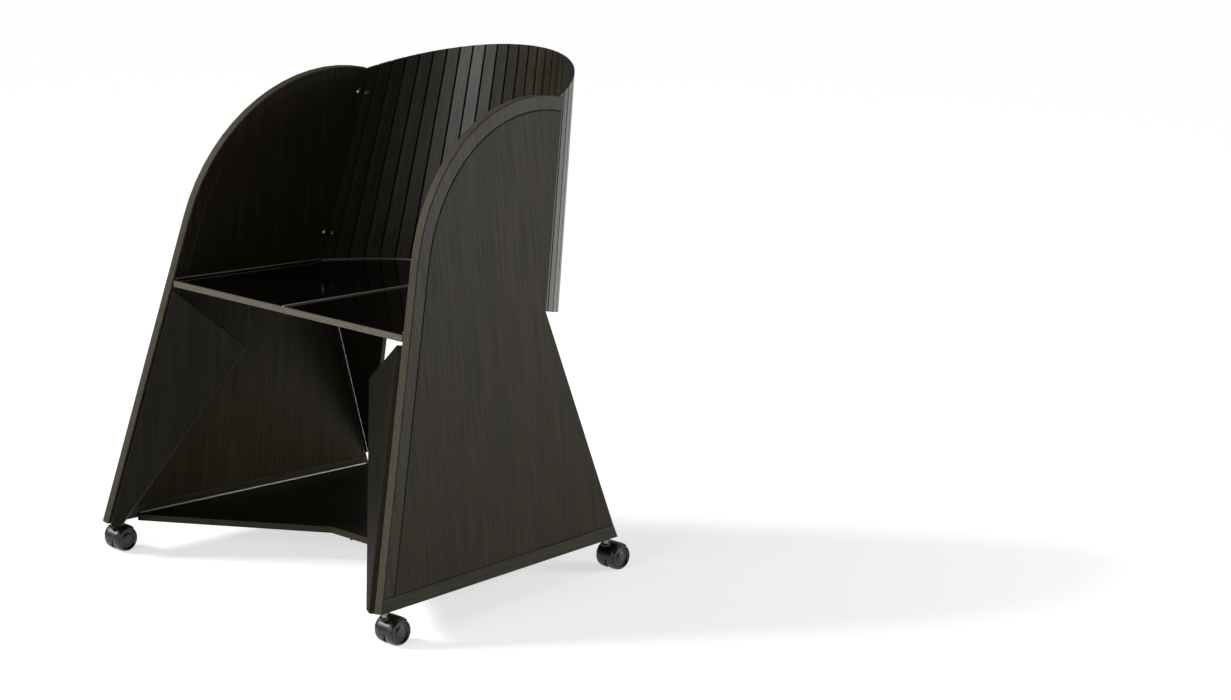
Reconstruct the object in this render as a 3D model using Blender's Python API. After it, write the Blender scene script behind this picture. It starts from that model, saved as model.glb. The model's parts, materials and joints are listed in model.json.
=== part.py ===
"""A folding armchair on casters: two raked plywood sides, a folding seat and base, and a slatted back.

The chair stands open. Its sides are hinged to a two-leaf seat and a two-leaf base, which fold up between them
while the curtain of slats that makes the back draws out behind. Lengths are in metres, X runs to the sitter's
left hand, the front is at -Y and Z is up. The right-hand side (+X) is drawn, and the left one is its mirror.
"""
import math

import bmesh
import bpy
import numpy as np
from mathutils import Matrix, Vector

# Driving sizes
FOOT_HALF_SPREAD = 0.3615
FOOT_LENGTH = 0.600
FOOT_HEIGHT = 0.057
TOE_IN = math.radians(3.5)
LEAN_IN = math.radians(6.03)
SEAM = 0.0003

# Height of the seat's hinge up the side, which the back and the wings follow
SEAT_HINGE_V = 0.4395

# Side: a core board in a lipping, on a foot rail
SIDE_THICKNESS = 0.0183
RAIL_HEIGHT = 0.0237
RAIL_END_SLOPE = 0.010
LIPPING_WIDTH = 0.025
EDGE_ROUND = 0.0014
FRONT_RAKE = math.radians(14.86)
ARM_RADIUS = 0.321
ARM_CENTRE_HEIGHT = 0.463
ARM_STEPS = 16
BACK_FOOT_U = 0.4495
BACK_FOOT_DROP = 0.0181
BACK_FOOT_V = SEAT_HINGE_V - BACK_FOOT_DROP
BACK_RECLINE = math.radians(12.82)
REAR_TOE_U = 0.590

# Hinges
KNUCKLE_RADIUS = 0.0019
KNUCKLE_PITCH = 0.040
KNUCKLE_GROOVE = 0.0006
KNUCKLE_SIDES = 12
LEAF_THICKNESS = 0.0008
LEAF_WIDTH = 0.0072
LEAF_PLAY = 0.0004
HINGE_STANDOFF = KNUCKLE_RADIUS + SEAM

# Seat and base, each in two leaves
BOARD_THICKNESS = 0.012
BOARD_ROUND = 0.0010
CENTRE_GAP = 0.0006
SEAT_SLOPE = math.radians(1.24)
SEAT_FRONT = 0.1120
SEAT_BACK_PLAY = 0.006
SEAT_BACK_STEPS = 10
BASE_HINGE_V = 0.0100
BASE_FRONT_AT_SIDE = 0.061
BASE_FRONT_AT_CENTRE = 0.2610
BASE_FLAT_HALF_WIDTH = 0.0450
BASE_REAR = 0.588
HINGE_END_SETBACK = 0.004

# Front wings
WING_SETBACK = 0.0105
WING_TOP_DROP = 0.0235
WING_TOP = SEAT_HINGE_V - WING_TOP_DROP
WING_BOTTOM = -0.003
WING_TIP_U = 0.2576
WING_TIP_DROP = 0.1167
WING_TIP_V = SEAT_HINGE_V - WING_TIP_DROP
WING_FOOT_WIDTH = 0.018
WING_OPEN = math.radians(58.0)

# Rear wings
REAR_WING_TOP_DROP = 0.0174
REAR_WING_TOP = BACK_FOOT_V - REAR_WING_TOP_DROP
REAR_WING_BOTTOM = 0.028
REAR_WING_TOP_REACH = 0.606
REAR_WING_BOTTOM_WIDTH = 0.004
REAR_WING_DROP = math.radians(14.5)
REAR_WING_SWING = math.radians(85.0)
REAR_WING_GAP = 0.0005

# Slatted back
SLATS_PER_SIDE = 13
SLATS_TOGETHER = (1, 3, 5, 1, 1, 1, 1)
FIRST_SLAT_SHARE = 0.8
SLAT_THICKNESS = 0.009
SLAT_GAP = 0.0006
SLAT_RELIEF = 0.0017
BACK_HALF_ARC = math.radians(72.0)
BACK_SECTION_DROP = math.radians(8.0)
BACK_BOTTOM_DROP = math.radians(14.5)
BACK_TOP_RISE = math.radians(15.0)
LOOP_TURN = math.radians(80.0)
LOOP_CURL_POWER = 3.2
LOOP_START_LIMIT = math.radians(45.0)
BACK_END_PLAY = 0.0006

# Casters
WHEEL_RADIUS = 0.0230
WHEEL_HALF_WIDTH = 0.0215
WHEEL_HUB_RADIUS = 0.0075
WHEEL_SLOT_HALF = 0.0040
WHEEL_SEGMENTS = 28
AXLE_RADIUS = 0.0045
FORK_HALF_WIDTH = 0.0030
HOOD_RADIUS = 0.0250
HOOD_HALF_WIDTH = 0.0180
HOOD_PLAY = 0.0006
HOOD_BACK = math.radians(58.0)
HOOD_FRONT = math.radians(181.0)
HOOD_STEPS = 12
CASTER_TRAIL = 0.0180
STEM_RADIUS = 0.0038
STEM_LENGTH = 0.0120
STEM_COLLAR_RADIUS = 0.0065
STEM_BOSS_RADIUS = 0.0085
RUNNING_PLAY = 0.00009
FRONT_CASTER_U = 0.016
REAR_CASTER_U = 0.578
CUT_OVERRUN = 0.010

# Drawing
HINGE_SHADE_ANGLE = math.radians(40.0)
CASTER_SHADE_ANGLE = math.radians(35.0)
SEARCH_STEPS = 60


def unit(vector):
    """Return the vector at length one."""
    return np.array(vector, float) / np.linalg.norm(vector)


# Frame of the right-hand side: u along the foot, v up the board, n out of its outer face
SIDE_N = unit((1.0, math.tan(TOE_IN), math.tan(LEAN_IN)))
SIDE_U = unit((-math.tan(TOE_IN), 1.0, 0.0))
SIDE_V = np.cross(SIDE_N, SIDE_U)
SIDE_ORIGIN = np.array((FOOT_HALF_SPREAD, 0.0, FOOT_HEIGHT))


def side_point(u, v, n=0.0):
    """Return the world point at u, v, n on the right-hand side."""
    return SIDE_ORIGIN + u * SIDE_U + v * SIDE_V + n * SIDE_N


def side_matrix():
    """Return the matrix that carries (u, v, n) into the world."""
    matrix = Matrix.Identity(4)
    for column, axis in enumerate((SIDE_U, SIDE_V, SIDE_N)):
        for row in range(3):
            matrix[row][column] = axis[row]
    matrix.translation = Vector(SIDE_ORIGIN)
    return matrix


def turn_about(point, axis, angle):
    """Return the matrix of a turn about a line."""
    centre = Matrix.Translation(Vector(point))
    return centre @ Matrix.Rotation(angle, 4, Vector(axis)) @ centre.inverted()


MIRROR = Matrix.Diagonal(Vector((-1.0, 1.0, 1.0, 1.0)))


def mirror_point(point):
    """Return the point across the middle of the chair."""
    return np.array((-point[0], point[1], point[2]))


def mirror_axis(axis):
    """Return the turning axis across the middle, which turns the mirrored piece the mirrored way."""
    return np.array((axis[0], -axis[1], -axis[2]))


# Materials

def finish(name, colour, roughness, metallic=0.0):
    """Return a plain material."""
    material = bpy.data.materials.new(name)
    material.use_nodes = True
    shader = material.node_tree.nodes["Principled BSDF"]
    shader.inputs["Base Color"].default_value = (*colour, 1.0)
    shader.inputs["Roughness"].default_value = roughness
    shader.inputs["Metallic"].default_value = metallic
    material.diffuse_color = (*colour, 1.0)
    return material


# Meshes

def mesh_from(name, vertices, faces):
    """Return a mesh whose faces all point out."""
    shape = bmesh.new()
    made = [shape.verts.new(Vector(v)) for v in vertices]
    for face in faces:
        shape.faces.new([made[i] for i in face])
    bmesh.ops.recalc_face_normals(shape, faces=shape.faces)
    mesh = bpy.data.meshes.new(name)
    shape.to_mesh(mesh)
    shape.free()
    return mesh


def inset_outline(points, distance):
    """Return a closed outline moved inwards by a distance, with mitred corners."""
    points = np.array(points, float)
    area = 0.0
    for a, b in zip(points, np.roll(points, -1, 0)):
        area += a[0] * b[1] - b[0] * a[1]
    side = 1.0 if area > 0 else -1.0
    result = []
    count = len(points)
    for i in range(count):
        before = unit(points[i] - points[i - 1])
        after = unit(points[(i + 1) % count] - points[i])
        n1 = side * np.array((-before[1], before[0]))
        n2 = side * np.array((-after[1], after[0]))
        result.append(points[i] + (n1 + n2) * distance / (1.0 + n1 @ n2))
    return np.array(result)


def board(name, outline, low, high, round_by):
    """Return a flat board with an outline in X and Y, and its long edges eased."""
    full = np.array(outline, float)
    eased = inset_outline(full, round_by)
    levels = ((low, eased), (low + round_by, full), (high - round_by, full), (high, eased))
    vertices = [(x, y, z) for z, ring in levels for x, y in ring]
    count = len(full)
    faces = [tuple(range(count)), tuple(range(3 * count, 4 * count))]
    for level in range(3):
        for i in range(count):
            a = level * count + i
            b = level * count + (i + 1) % count
            faces.append((a, b, b + count, a + count))
    return mesh_from(name, vertices, faces)


def revolve(name, profile, segments):
    """Return a closed solid turned about X from (x, radius) points that start and end on the axis."""
    vertices = [(profile[0][0], 0.0, 0.0), (profile[-1][0], 0.0, 0.0)]
    rings = profile[1:-1]
    for x, radius in rings:
        for step in range(segments):
            angle = math.tau * step / segments
            vertices.append((x, radius * math.cos(angle), radius * math.sin(angle)))
    faces = []
    for step in range(segments):
        after = (step + 1) % segments
        faces.append((0, 2 + step, 2 + after))
        last = 2 + (len(rings) - 1) * segments
        faces.append((1, last + after, last + step))
        for ring in range(len(rings) - 1):
            a = 2 + ring * segments
            b = a + segments
            faces.append((a + step, b + step, b + after, a + after))
    return mesh_from(name, vertices, faces)


def scratch_object(mesh):
    """Return an object that only carries a mesh through a Boolean."""
    item = bpy.data.objects.new(mesh.name, mesh)
    bpy.context.scene.collection.objects.link(item)
    return item


def combine(mesh, other, operation):
    """Return the mesh joined with, or cut by, the other one."""
    item = scratch_object(mesh)
    tool = scratch_object(other)
    step = item.modifiers.new("combine", "BOOLEAN")
    step.operation = operation
    step.object = tool
    step.solver = "EXACT"
    bpy.context.view_layer.update()
    result = bpy.data.meshes.new_from_object(item.evaluated_get(bpy.context.evaluated_depsgraph_get()))
    result.name = mesh.name
    bpy.data.objects.remove(item)
    bpy.data.objects.remove(tool)
    return result


def moved(mesh, matrix):
    """Return a copy of a mesh under a matrix, with its faces still pointing out."""
    copy = mesh.copy()
    copy.transform(matrix)
    if matrix.determinant() < 0.0:
        copy.flip_normals()
    return copy


# Pieces and joints

def add_empty(name, parent, point, axis):
    """Add an empty on a joint's axis, with its local Z along it."""
    empty = bpy.data.objects.new(name, None)
    bpy.context.scene.collection.objects.link(empty)
    turn = Vector(axis).to_track_quat("Z", "Y").to_matrix().to_4x4()
    world = Matrix.Translation(Vector(point)) @ turn
    empty.parent = parent
    bpy.context.view_layer.update()
    empty.matrix_world = world
    bpy.context.view_layer.update()
    return empty


def add_joint(name, parent, point, axis, top=None, follows=None):
    """Add a joint's empty. Without a top angle the joint turns freely."""
    empty = add_empty(name, parent, point, axis)
    empty["joint"] = True
    if top is not None:
        empty["turn_deg"] = math.degrees(top)
    if follows is not None:
        empty["follows"] = follows
    return empty


def add_piece(name, mesh, material, parent, smooth=None):
    """Add a node: its mesh is given in the world and kept about its parent's axis."""
    piece = bpy.data.objects.new(name, mesh.copy())
    piece.data.name = name
    bpy.context.scene.collection.objects.link(piece)
    bpy.context.view_layer.update()
    piece.data.transform(parent.matrix_world.inverted())
    piece.data.materials.clear()
    piece.data.materials.append(material)
    piece.parent = parent
    if smooth is not None:
        piece.data.shade_smooth()
        piece.data.set_sharp_from_angle(angle=smooth)
    return piece


# Side outlines in (u, v)

def front_u(v, inset=0.0):
    """Return u of the front edge at a height, or of a line inset from it."""
    return v * math.tan(FRONT_RAKE) + inset / math.cos(FRONT_RAKE)


def back_u(v):
    """Return u of the back edge that carries the slats."""
    return BACK_FOOT_U + (v - BACK_FOOT_V) * math.tan(BACK_RECLINE)


def rear_u(v):
    """Return u of the sloping edge below the slats."""
    return REAR_TOE_U + (v - RAIL_HEIGHT) * (BACK_FOOT_U - REAR_TOE_U) / (BACK_FOOT_V - RAIL_HEIGHT)


ARM_CENTRE = np.array((front_u(ARM_CENTRE_HEIGHT, ARM_RADIUS), ARM_CENTRE_HEIGHT))


def back_hit(radius):
    """Return the angle at which a circle about the arm's centre meets the back edge."""
    low, high = 0.0, math.pi / 2
    for _ in range(SEARCH_STEPS):
        middle = (low + high) / 2
        u, v = ARM_CENTRE + radius * np.array((math.cos(middle), math.sin(middle)))
        low, high = (middle, high) if u > back_u(v) else (low, middle)
    return (low + high) / 2


def arm_path(inset, bottom):
    """Return the front and top edge from the foot up, moved in by an inset."""
    radius = ARM_RADIUS - inset
    start = math.pi - FRONT_RAKE
    stop = back_hit(radius)
    path = [np.array((front_u(bottom, inset), bottom))]
    for step in range(ARM_STEPS + 1):
        angle = start + (stop - start) * step / ARM_STEPS
        path.append(ARM_CENTRE + radius * np.array((math.cos(angle), math.sin(angle))))
    return path


def core_outline():
    """Return the core board's outline inside the lipping."""
    bottom = RAIL_HEIGHT + SEAM
    path = arm_path(LIPPING_WIDTH + SEAM, bottom)
    tail = [np.array((BACK_FOOT_U, BACK_FOOT_V)), np.array((rear_u(bottom), bottom))]
    return (path + tail)[::-1]


def lipping_outline():
    """Return the outline of the lipping along the front and the top."""
    bottom = RAIL_HEIGHT + SEAM
    return arm_path(LIPPING_WIDTH, bottom) + arm_path(0.0, bottom)[::-1]


def rail_outline():
    """Return the foot rail's outline."""
    return [
        np.array((0.0, 0.0)),
        np.array((FOOT_LENGTH, 0.0)),
        np.array((FOOT_LENGTH - RAIL_END_SLOPE, RAIL_HEIGHT)),
        np.array((front_u(RAIL_HEIGHT), RAIL_HEIGHT)),
    ]


# Hinges

def hinge_mesh(name, start, stop, leaf_way, seat_way, parity=None):
    """Return one leaf of a piano hinge with its knuckles.

    The knuckles run from start to stop. The leaf leaves them along leaf_way and lies on the side that
    seat_way points to. With a parity only every other knuckle is made, for a second leaf to fill the rest.
    """
    start, stop = np.array(start, float), np.array(stop, float)
    along = unit(stop - start)
    leaf_way, seat_way = unit(leaf_way), unit(seat_way)
    length = np.linalg.norm(stop - start)
    count = max(2, round(length / KNUCKLE_PITCH))
    pitch = length / count
    neck = KNUCKLE_RADIUS + LEAF_PLAY
    inner = KNUCKLE_RADIUS - LEAF_THICKNESS
    strip = [(neck, inner), (LEAF_WIDTH, inner), (LEAF_WIDTH, KNUCKLE_RADIUS), (neck, KNUCKLE_RADIUS)]
    lip = math.asin(inner / KNUCKLE_RADIUS)
    sweep = -(math.tau - (math.pi / 2 - lip))
    knuckle = []
    for step in range(KNUCKLE_SIDES + 1):
        angle = lip + sweep * step / KNUCKLE_SIDES
        knuckle.append((KNUCKLE_RADIUS * math.cos(angle), KNUCKLE_RADIUS * math.sin(angle)))
    vertices, faces = [], []

    def ring(points, t):
        first = len(vertices)
        for a, b in points:
            vertices.append(start + along * t + leaf_way * a + seat_way * b)
        return list(range(first, first + len(points)))

    stations = []
    for i in range(count):
        if parity is None or i % 2 == parity:
            stations.append((i * pitch + KNUCKLE_GROOVE / 2, (i + 1) * pitch - KNUCKLE_GROOVE / 2))
    cuts = [0.0]
    for a, b in stations:
        cuts += [a, b]
    cuts.append(length)
    rings = [ring(strip, t) for t in cuts]
    faces.append(rings[0][::-1])
    faces.append(rings[-1])
    for i in range(len(cuts) - 1):
        near, far = rings[i], rings[i + 1]
        for a in range(3):
            faces.append((near[a], near[a + 1], far[a + 1], far[a]))
        if i % 2 == 0:
            faces.append((near[3], near[0], far[0], far[3]))
            continue
        here, there = ring(knuckle, cuts[i]), ring(knuckle, cuts[i + 1])
        here = [near[0]] + here + [near[3]]
        there = [far[0]] + there + [far[3]]
        faces.append(here)
        faces.append(there[::-1])
        for a in range(len(here) - 1):
            faces.append((here[a], there[a], there[a + 1], here[a + 1]))
    return mesh_from(name, vertices, faces)


# Boards that fold: each lies in a plane through X and its hinge line

class FoldingBoard:
    """The plane, hinge line and centre line of a board hinged to the sides."""

    def __init__(self, hinge_v, slope):
        self.line = unit(math.cos(slope) * SIDE_U - math.sin(slope) * SIDE_V)
        self.up = unit(np.cross((1.0, 0.0, 0.0), self.line))
        self.back = np.cross(self.up, (1.0, 0.0, 0.0))
        point = side_point(0.0, hinge_v, -(SIDE_THICKNESS + HINGE_STANDOFF))
        self.start = point - self.line * (point[1] / self.line[1])
        self.origin = np.array((0.0, 0.0, self.start[2]))
        self.fold = math.acos(float(np.clip(self.up @ SIDE_N, -1.0, 1.0)))
        self.centre = self.origin - self.up * (HINGE_STANDOFF + BOARD_THICKNESS + HINGE_STANDOFF)

    def hinge_point(self, distance):
        """Return the point of the hinge line at a distance back along the board."""
        return self.start + self.line * (distance / float(self.line @ self.back))

    def edge_x(self, distance):
        """Return x of the board's outer edge at a distance back along it."""
        clear = HINGE_STANDOFF - SEAM - LEAF_THICKNESS - LEAF_PLAY
        return self.hinge_point(distance)[0] + clear

    def matrix(self):
        """Return the matrix that carries the board's own X, Y, Z into the world."""
        matrix = Matrix.Identity(4)
        for column, axis in enumerate(((1.0, 0.0, 0.0), self.back, self.up)):
            for row in range(3):
                matrix[row][column] = axis[row]
        matrix.translation = Vector(self.origin)
        return matrix

    def slab(self, name, outline):
        """Return the board with an outline in its own X and Y."""
        top = -HINGE_STANDOFF
        return moved(board(name, outline, top - BOARD_THICKNESS, top, BOARD_ROUND), self.matrix())


SEAT = FoldingBoard(SEAT_HINGE_V, SEAT_SLOPE)
BASE = FoldingBoard(BASE_HINGE_V, 0.0)


# Slatted back: a cone through both back edges

class SlattedBack:
    """Slat lines of the right half of the back, which all meet in one point above the chair."""

    def __init__(self):
        depth = -(SIDE_THICKNESS - SLAT_THICKNESS / 2)
        self.foot = side_point(BACK_FOOT_U, BACK_FOOT_V, depth)
        top_v = arm_path(0.0, BACK_FOOT_V)[-1][1]
        self.head = side_point(back_u(top_v), top_v, depth)
        way = self.head - self.foot
        self.apex = self.foot + way * (self.foot[0] / -way[0])
        self.section = np.array((0.0, math.cos(BACK_SECTION_DROP), -math.sin(BACK_SECTION_DROP)))
        self.radius = self.foot[0] / math.sin(BACK_HALF_ARC)
        self.centre = self.foot - np.array((self.foot[0], 0.0, 0.0))
        self.centre = self.centre - self.section * self.radius * math.cos(BACK_HALF_ARC)

    def shares(self):
        """Return each slat line's share of the half arc, from the side to the middle."""
        widths = [FIRST_SLAT_SHARE] + [1.0] * (SLATS_PER_SIDE - 1)
        return np.concatenate(((0.0,), np.cumsum(widths))) / sum(widths)

    def section_point(self, share):
        """Return the point where a slat line meets the round section of the back."""
        angle = BACK_HALF_ARC * (1.0 - share)
        across = np.array((math.sin(angle), 0.0, 0.0))
        return self.centre + self.radius * (across + math.cos(angle) * self.section)

    def line_at(self, share, through, tilt):
        """Return where a slat line meets the cut plane that rises towards the back by a tilt."""
        normal = np.array((0.0, -math.sin(tilt), math.cos(tilt)))
        point = self.section_point(share)
        way = self.apex - point
        return point + way * (float((through - point) @ normal) / float(way @ normal))

    def bottom(self, share):
        """Return a slat line's lower end."""
        return self.line_at(share, self.foot, -BACK_BOTTOM_DROP)

    def top(self, share):
        """Return a slat line's upper end."""
        return self.line_at(share, self.head, BACK_TOP_RISE)

    def slat(self, name, near, far, last):
        """Return one slat between two slat lines, with its long edges relieved to a ridge."""
        end_gap = BACK_END_PLAY / 2 if last else SLAT_GAP / 2
        vertices = []
        for a, b in ((self.bottom(near), self.bottom(far)), (self.top(near), self.top(far))):
            across = unit(b - a)
            out = unit(np.cross(self.apex - a, across))
            half = SLAT_THICKNESS / 2
            first = a + across * SLAT_GAP / 2
            final = b - across * end_gap
            vertices += [
                first,
                first + across * SLAT_RELIEF + out * half,
                final - across * SLAT_RELIEF + out * half,
                final,
                final - across * SLAT_RELIEF - out * half,
                first + across * SLAT_RELIEF - out * half,
            ]
        faces = [(0, 1, 2, 3, 4, 5), (11, 10, 9, 8, 7, 6)]
        for i in range(6):
            j = (i + 1) % 6
            faces.append((i, j, j + 6, i + 6))
        return mesh_from(name, vertices, faces)

    def rest_turns(self):
        """Return the bend at each slat line with the chair open, positive where the back turns inwards."""
        way = SIDE_U
        turns = []
        lines = self.shares()
        for near, far in zip(lines[:-1], lines[1:]):
            a, b = self.bottom(near), self.bottom(far)
            axis = unit(self.apex - a)
            before = unit(way - axis * (way @ axis))
            after = unit((b - a) - axis * ((b - a) @ axis))
            turns.append(math.atan2(float(np.cross(before, after) @ axis), float(before @ after)))
            way = b - a
        return turns

    def folded_turns(self):
        """Return the bend at each slat line with the chair folded: a drop-shaped half loop."""
        lines = self.shares()
        widths = []
        for near, far in zip(lines[:-1], lines[1:]):
            widths.append(np.linalg.norm(self.bottom(far) - self.bottom(near)))
        reach = HINGE_STANDOFF + BOARD_THICKNESS + 2 * HINGE_STANDOFF + SLAT_THICKNESS / 2 - BACK_END_PLAY / 2
        low, high = -LOOP_START_LIMIT, 0.0
        for _ in range(SEARCH_STEPS):
            start = (low + high) / 2
            ways = []
            for i in range(SLATS_PER_SIDE):
                share = i / (SLATS_PER_SIDE - 1)
                ways.append(start + (LOOP_TURN - start) * share ** LOOP_CURL_POWER)
            across = sum(w * math.sin(a) for w, a in zip(widths, ways))
            low, high = (start, high) if across < reach else (low, start)
        return [ways[0]] + [b - a for a, b in zip(ways[:-1], ways[1:])]

    def group_turns(self):
        """Return how far each joint turns as the chair folds, by the mean turn of the slats that share it."""
        turned = np.cumsum(np.array(self.folded_turns()) - np.array(self.rest_turns()))
        means = [0.0]
        first = 0
        for count in SLATS_TOGETHER:
            means.append(float(turned[first:first + count].mean()))
            first += count
        return [b - a for a, b in zip(means[:-1], means[1:])]


BACK = SlattedBack()


# Outlines of the seat, base and wings

def seat_outline():
    """Return the right seat leaf's outline in its own plane, its back edge following the slats."""
    outline = [(CENTRE_GAP / 2, SEAT_FRONT), (SEAT.edge_x(SEAT_FRONT), SEAT_FRONT)]
    inset = SLAT_THICKNESS / 2 + SEAT_BACK_PLAY
    rear = []
    for step in range(SEAT_BACK_STEPS + 1):
        share = step / SEAT_BACK_STEPS
        point = BACK.line_at(share, SEAT.origin - SEAT.up * HINGE_STANDOFF, -SEAT_SLOPE)
        inward = unit((BACK.centre[0] - point[0], BACK.centre[1] - point[1], 0.0))
        point = point + inward * inset
        rear.append((point[0], float((point - SEAT.origin) @ SEAT.back)))
    corner = rear[0][1]
    first = (SEAT.edge_x(corner), corner)
    rear = [p for p in rear if p[0] < first[0] - inset]
    rear[-1] = (CENTRE_GAP / 2, rear[-1][1])
    return outline + [first] + rear


def base_outline():
    """Return the right base leaf's outline in its own plane."""
    return [
        (CENTRE_GAP / 2, BASE_FRONT_AT_CENTRE),
        (BASE_FLAT_HALF_WIDTH, BASE_FRONT_AT_CENTRE),
        (BASE.edge_x(BASE_FRONT_AT_SIDE), BASE_FRONT_AT_SIDE),
        (BASE.edge_x(BASE_REAR), BASE_REAR),
        (CENTRE_GAP / 2, BASE_REAR),
    ]


def front_wing():
    """Return the right front wing's mesh lying flat on the side, its hinge line and ends."""
    inner = -(SIDE_THICKNESS + 2 * HINGE_STANDOFF)
    outline = [
        (front_u(WING_BOTTOM, WING_SETBACK), WING_BOTTOM),
        (front_u(WING_BOTTOM, WING_SETBACK) + WING_FOOT_WIDTH, WING_BOTTOM),
        (WING_TIP_U, WING_TIP_V),
        (front_u(WING_TOP, WING_SETBACK), WING_TOP),
    ]
    mesh = moved(board("front_wing", outline, inner - BOARD_THICKNESS, inner, BOARD_ROUND), side_matrix())
    depth = -(SIDE_THICKNESS + HINGE_STANDOFF)
    low_v = RAIL_HEIGHT + SEAM
    foot = side_point(front_u(low_v, WING_SETBACK), low_v, depth)
    head_v = WING_TOP - HINGE_END_SETBACK
    head = side_point(front_u(head_v, WING_SETBACK), head_v, depth)
    return mesh, foot, head


def rear_wing():
    """Return the right rear wing's mesh in line with the side, its hinge line and ends."""
    slope = math.tan(REAR_WING_DROP)
    gap = REAR_WING_GAP
    top_u = rear_u(REAR_WING_TOP) + gap
    foot_u = rear_u(REAR_WING_BOTTOM) + gap
    outline = [
        (foot_u, REAR_WING_BOTTOM),
        (foot_u + REAR_WING_BOTTOM_WIDTH, REAR_WING_BOTTOM),
        (REAR_WING_TOP_REACH, REAR_WING_TOP - (REAR_WING_TOP_REACH - top_u) * slope),
        (top_u, REAR_WING_TOP),
    ]
    mesh = board("rear_wing", outline, -SIDE_THICKNESS, -SIDE_THICKNESS + BOARD_THICKNESS, BOARD_ROUND)
    mesh = moved(mesh, side_matrix())
    depth = -(SIDE_THICKNESS + HINGE_STANDOFF)
    low_v = REAR_WING_BOTTOM + HINGE_END_SETBACK
    high_v = REAR_WING_TOP - HINGE_END_SETBACK
    foot = side_point(rear_u(low_v) + gap / 2, low_v, depth)
    head = side_point(rear_u(high_v) + gap / 2, high_v, depth)
    return mesh, foot, head


# Casters, drawn about the stem with the floor at zero and the wheels trailing to +Y

def cylinder(name, radius, start, stop, segments=WHEEL_SEGMENTS):
    """Return a cylinder between two points."""
    start, stop = Vector(start), Vector(stop)
    length = (stop - start).length
    mesh = revolve(name, [(0.0, 0.0), (0.0, radius), (length, radius), (length, 0.0)], segments)
    turn = (stop - start).to_track_quat("X", "Z").to_matrix().to_4x4()
    return moved(mesh, Matrix.Translation(start) @ turn)


def ring(name, inner, outer, half_width):
    """Return a ring about X."""
    vertices = []
    for x, radius in ((-half_width, outer), (half_width, outer), (half_width, inner), (-half_width, inner)):
        for step in range(WHEEL_SEGMENTS):
            angle = math.tau * step / WHEEL_SEGMENTS
            vertices.append((x, radius * math.cos(angle), radius * math.sin(angle)))
    faces = []
    for band in range(4):
        for step in range(WHEEL_SEGMENTS):
            after = (step + 1) % WHEEL_SEGMENTS
            a = band * WHEEL_SEGMENTS
            b = (band + 1) % 4 * WHEEL_SEGMENTS
            faces.append((a + step, a + after, b + after, b + step))
    return mesh_from(name, vertices, faces)


def box(name, low, high):
    """Return a box between two corners."""
    outline = [(low[0], low[1]), (high[0], low[1]), (high[0], high[1]), (low[0], high[1])]
    vertices = [(x, y, z) for z in (low[2], high[2]) for x, y in outline]
    faces = [(0, 1, 2, 3), (4, 5, 6, 7)]
    for i in range(4):
        j = (i + 1) % 4
        faces.append((i, j, j + 4, i + 4))
    return mesh_from(name, vertices, faces)


def arc_shell(name, inner, outer, half_width):
    """Return the part of a tube about X that covers the wheels' front and top."""
    vertices = []
    for x in (-half_width, half_width):
        for radius, order in ((outer, 1), (inner, -1)):
            for step in range(HOOD_STEPS + 1)[::order]:
                angle = HOOD_BACK + (HOOD_FRONT - HOOD_BACK) * step / HOOD_STEPS
                vertices.append((x, radius * math.cos(angle), radius * math.sin(angle)))
    count = len(vertices) // 2
    faces = [tuple(range(count)), tuple(range(count, 2 * count))]
    for i in range(count):
        j = (i + 1) % count
        faces.append((i, j, j + count, i + count))
    return mesh_from(name, vertices, faces)


def wheel_mesh():
    """Return the twin wheels and their axle as one turned piece."""
    shoulder_shares = ((1.0, 0.62), (0.86, 0.80), (0.62, 0.93), (0.36, 1.0))
    half = [(WHEEL_HALF_WIDTH, 0.0), (WHEEL_HALF_WIDTH, WHEEL_HUB_RADIUS)]
    for width_share, radius_share in shoulder_shares:
        half.append((WHEEL_HALF_WIDTH * width_share, WHEEL_RADIUS * radius_share))
    half += [(WHEEL_SLOT_HALF, WHEEL_RADIUS), (WHEEL_SLOT_HALF, AXLE_RADIUS)]
    profile = half + [(-x, r) for x, r in reversed(half)]
    mesh = revolve("wheel", profile, WHEEL_SEGMENTS)
    return moved(mesh, Matrix.Translation(Vector((0.0, CASTER_TRAIL, WHEEL_RADIUS))))


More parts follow.
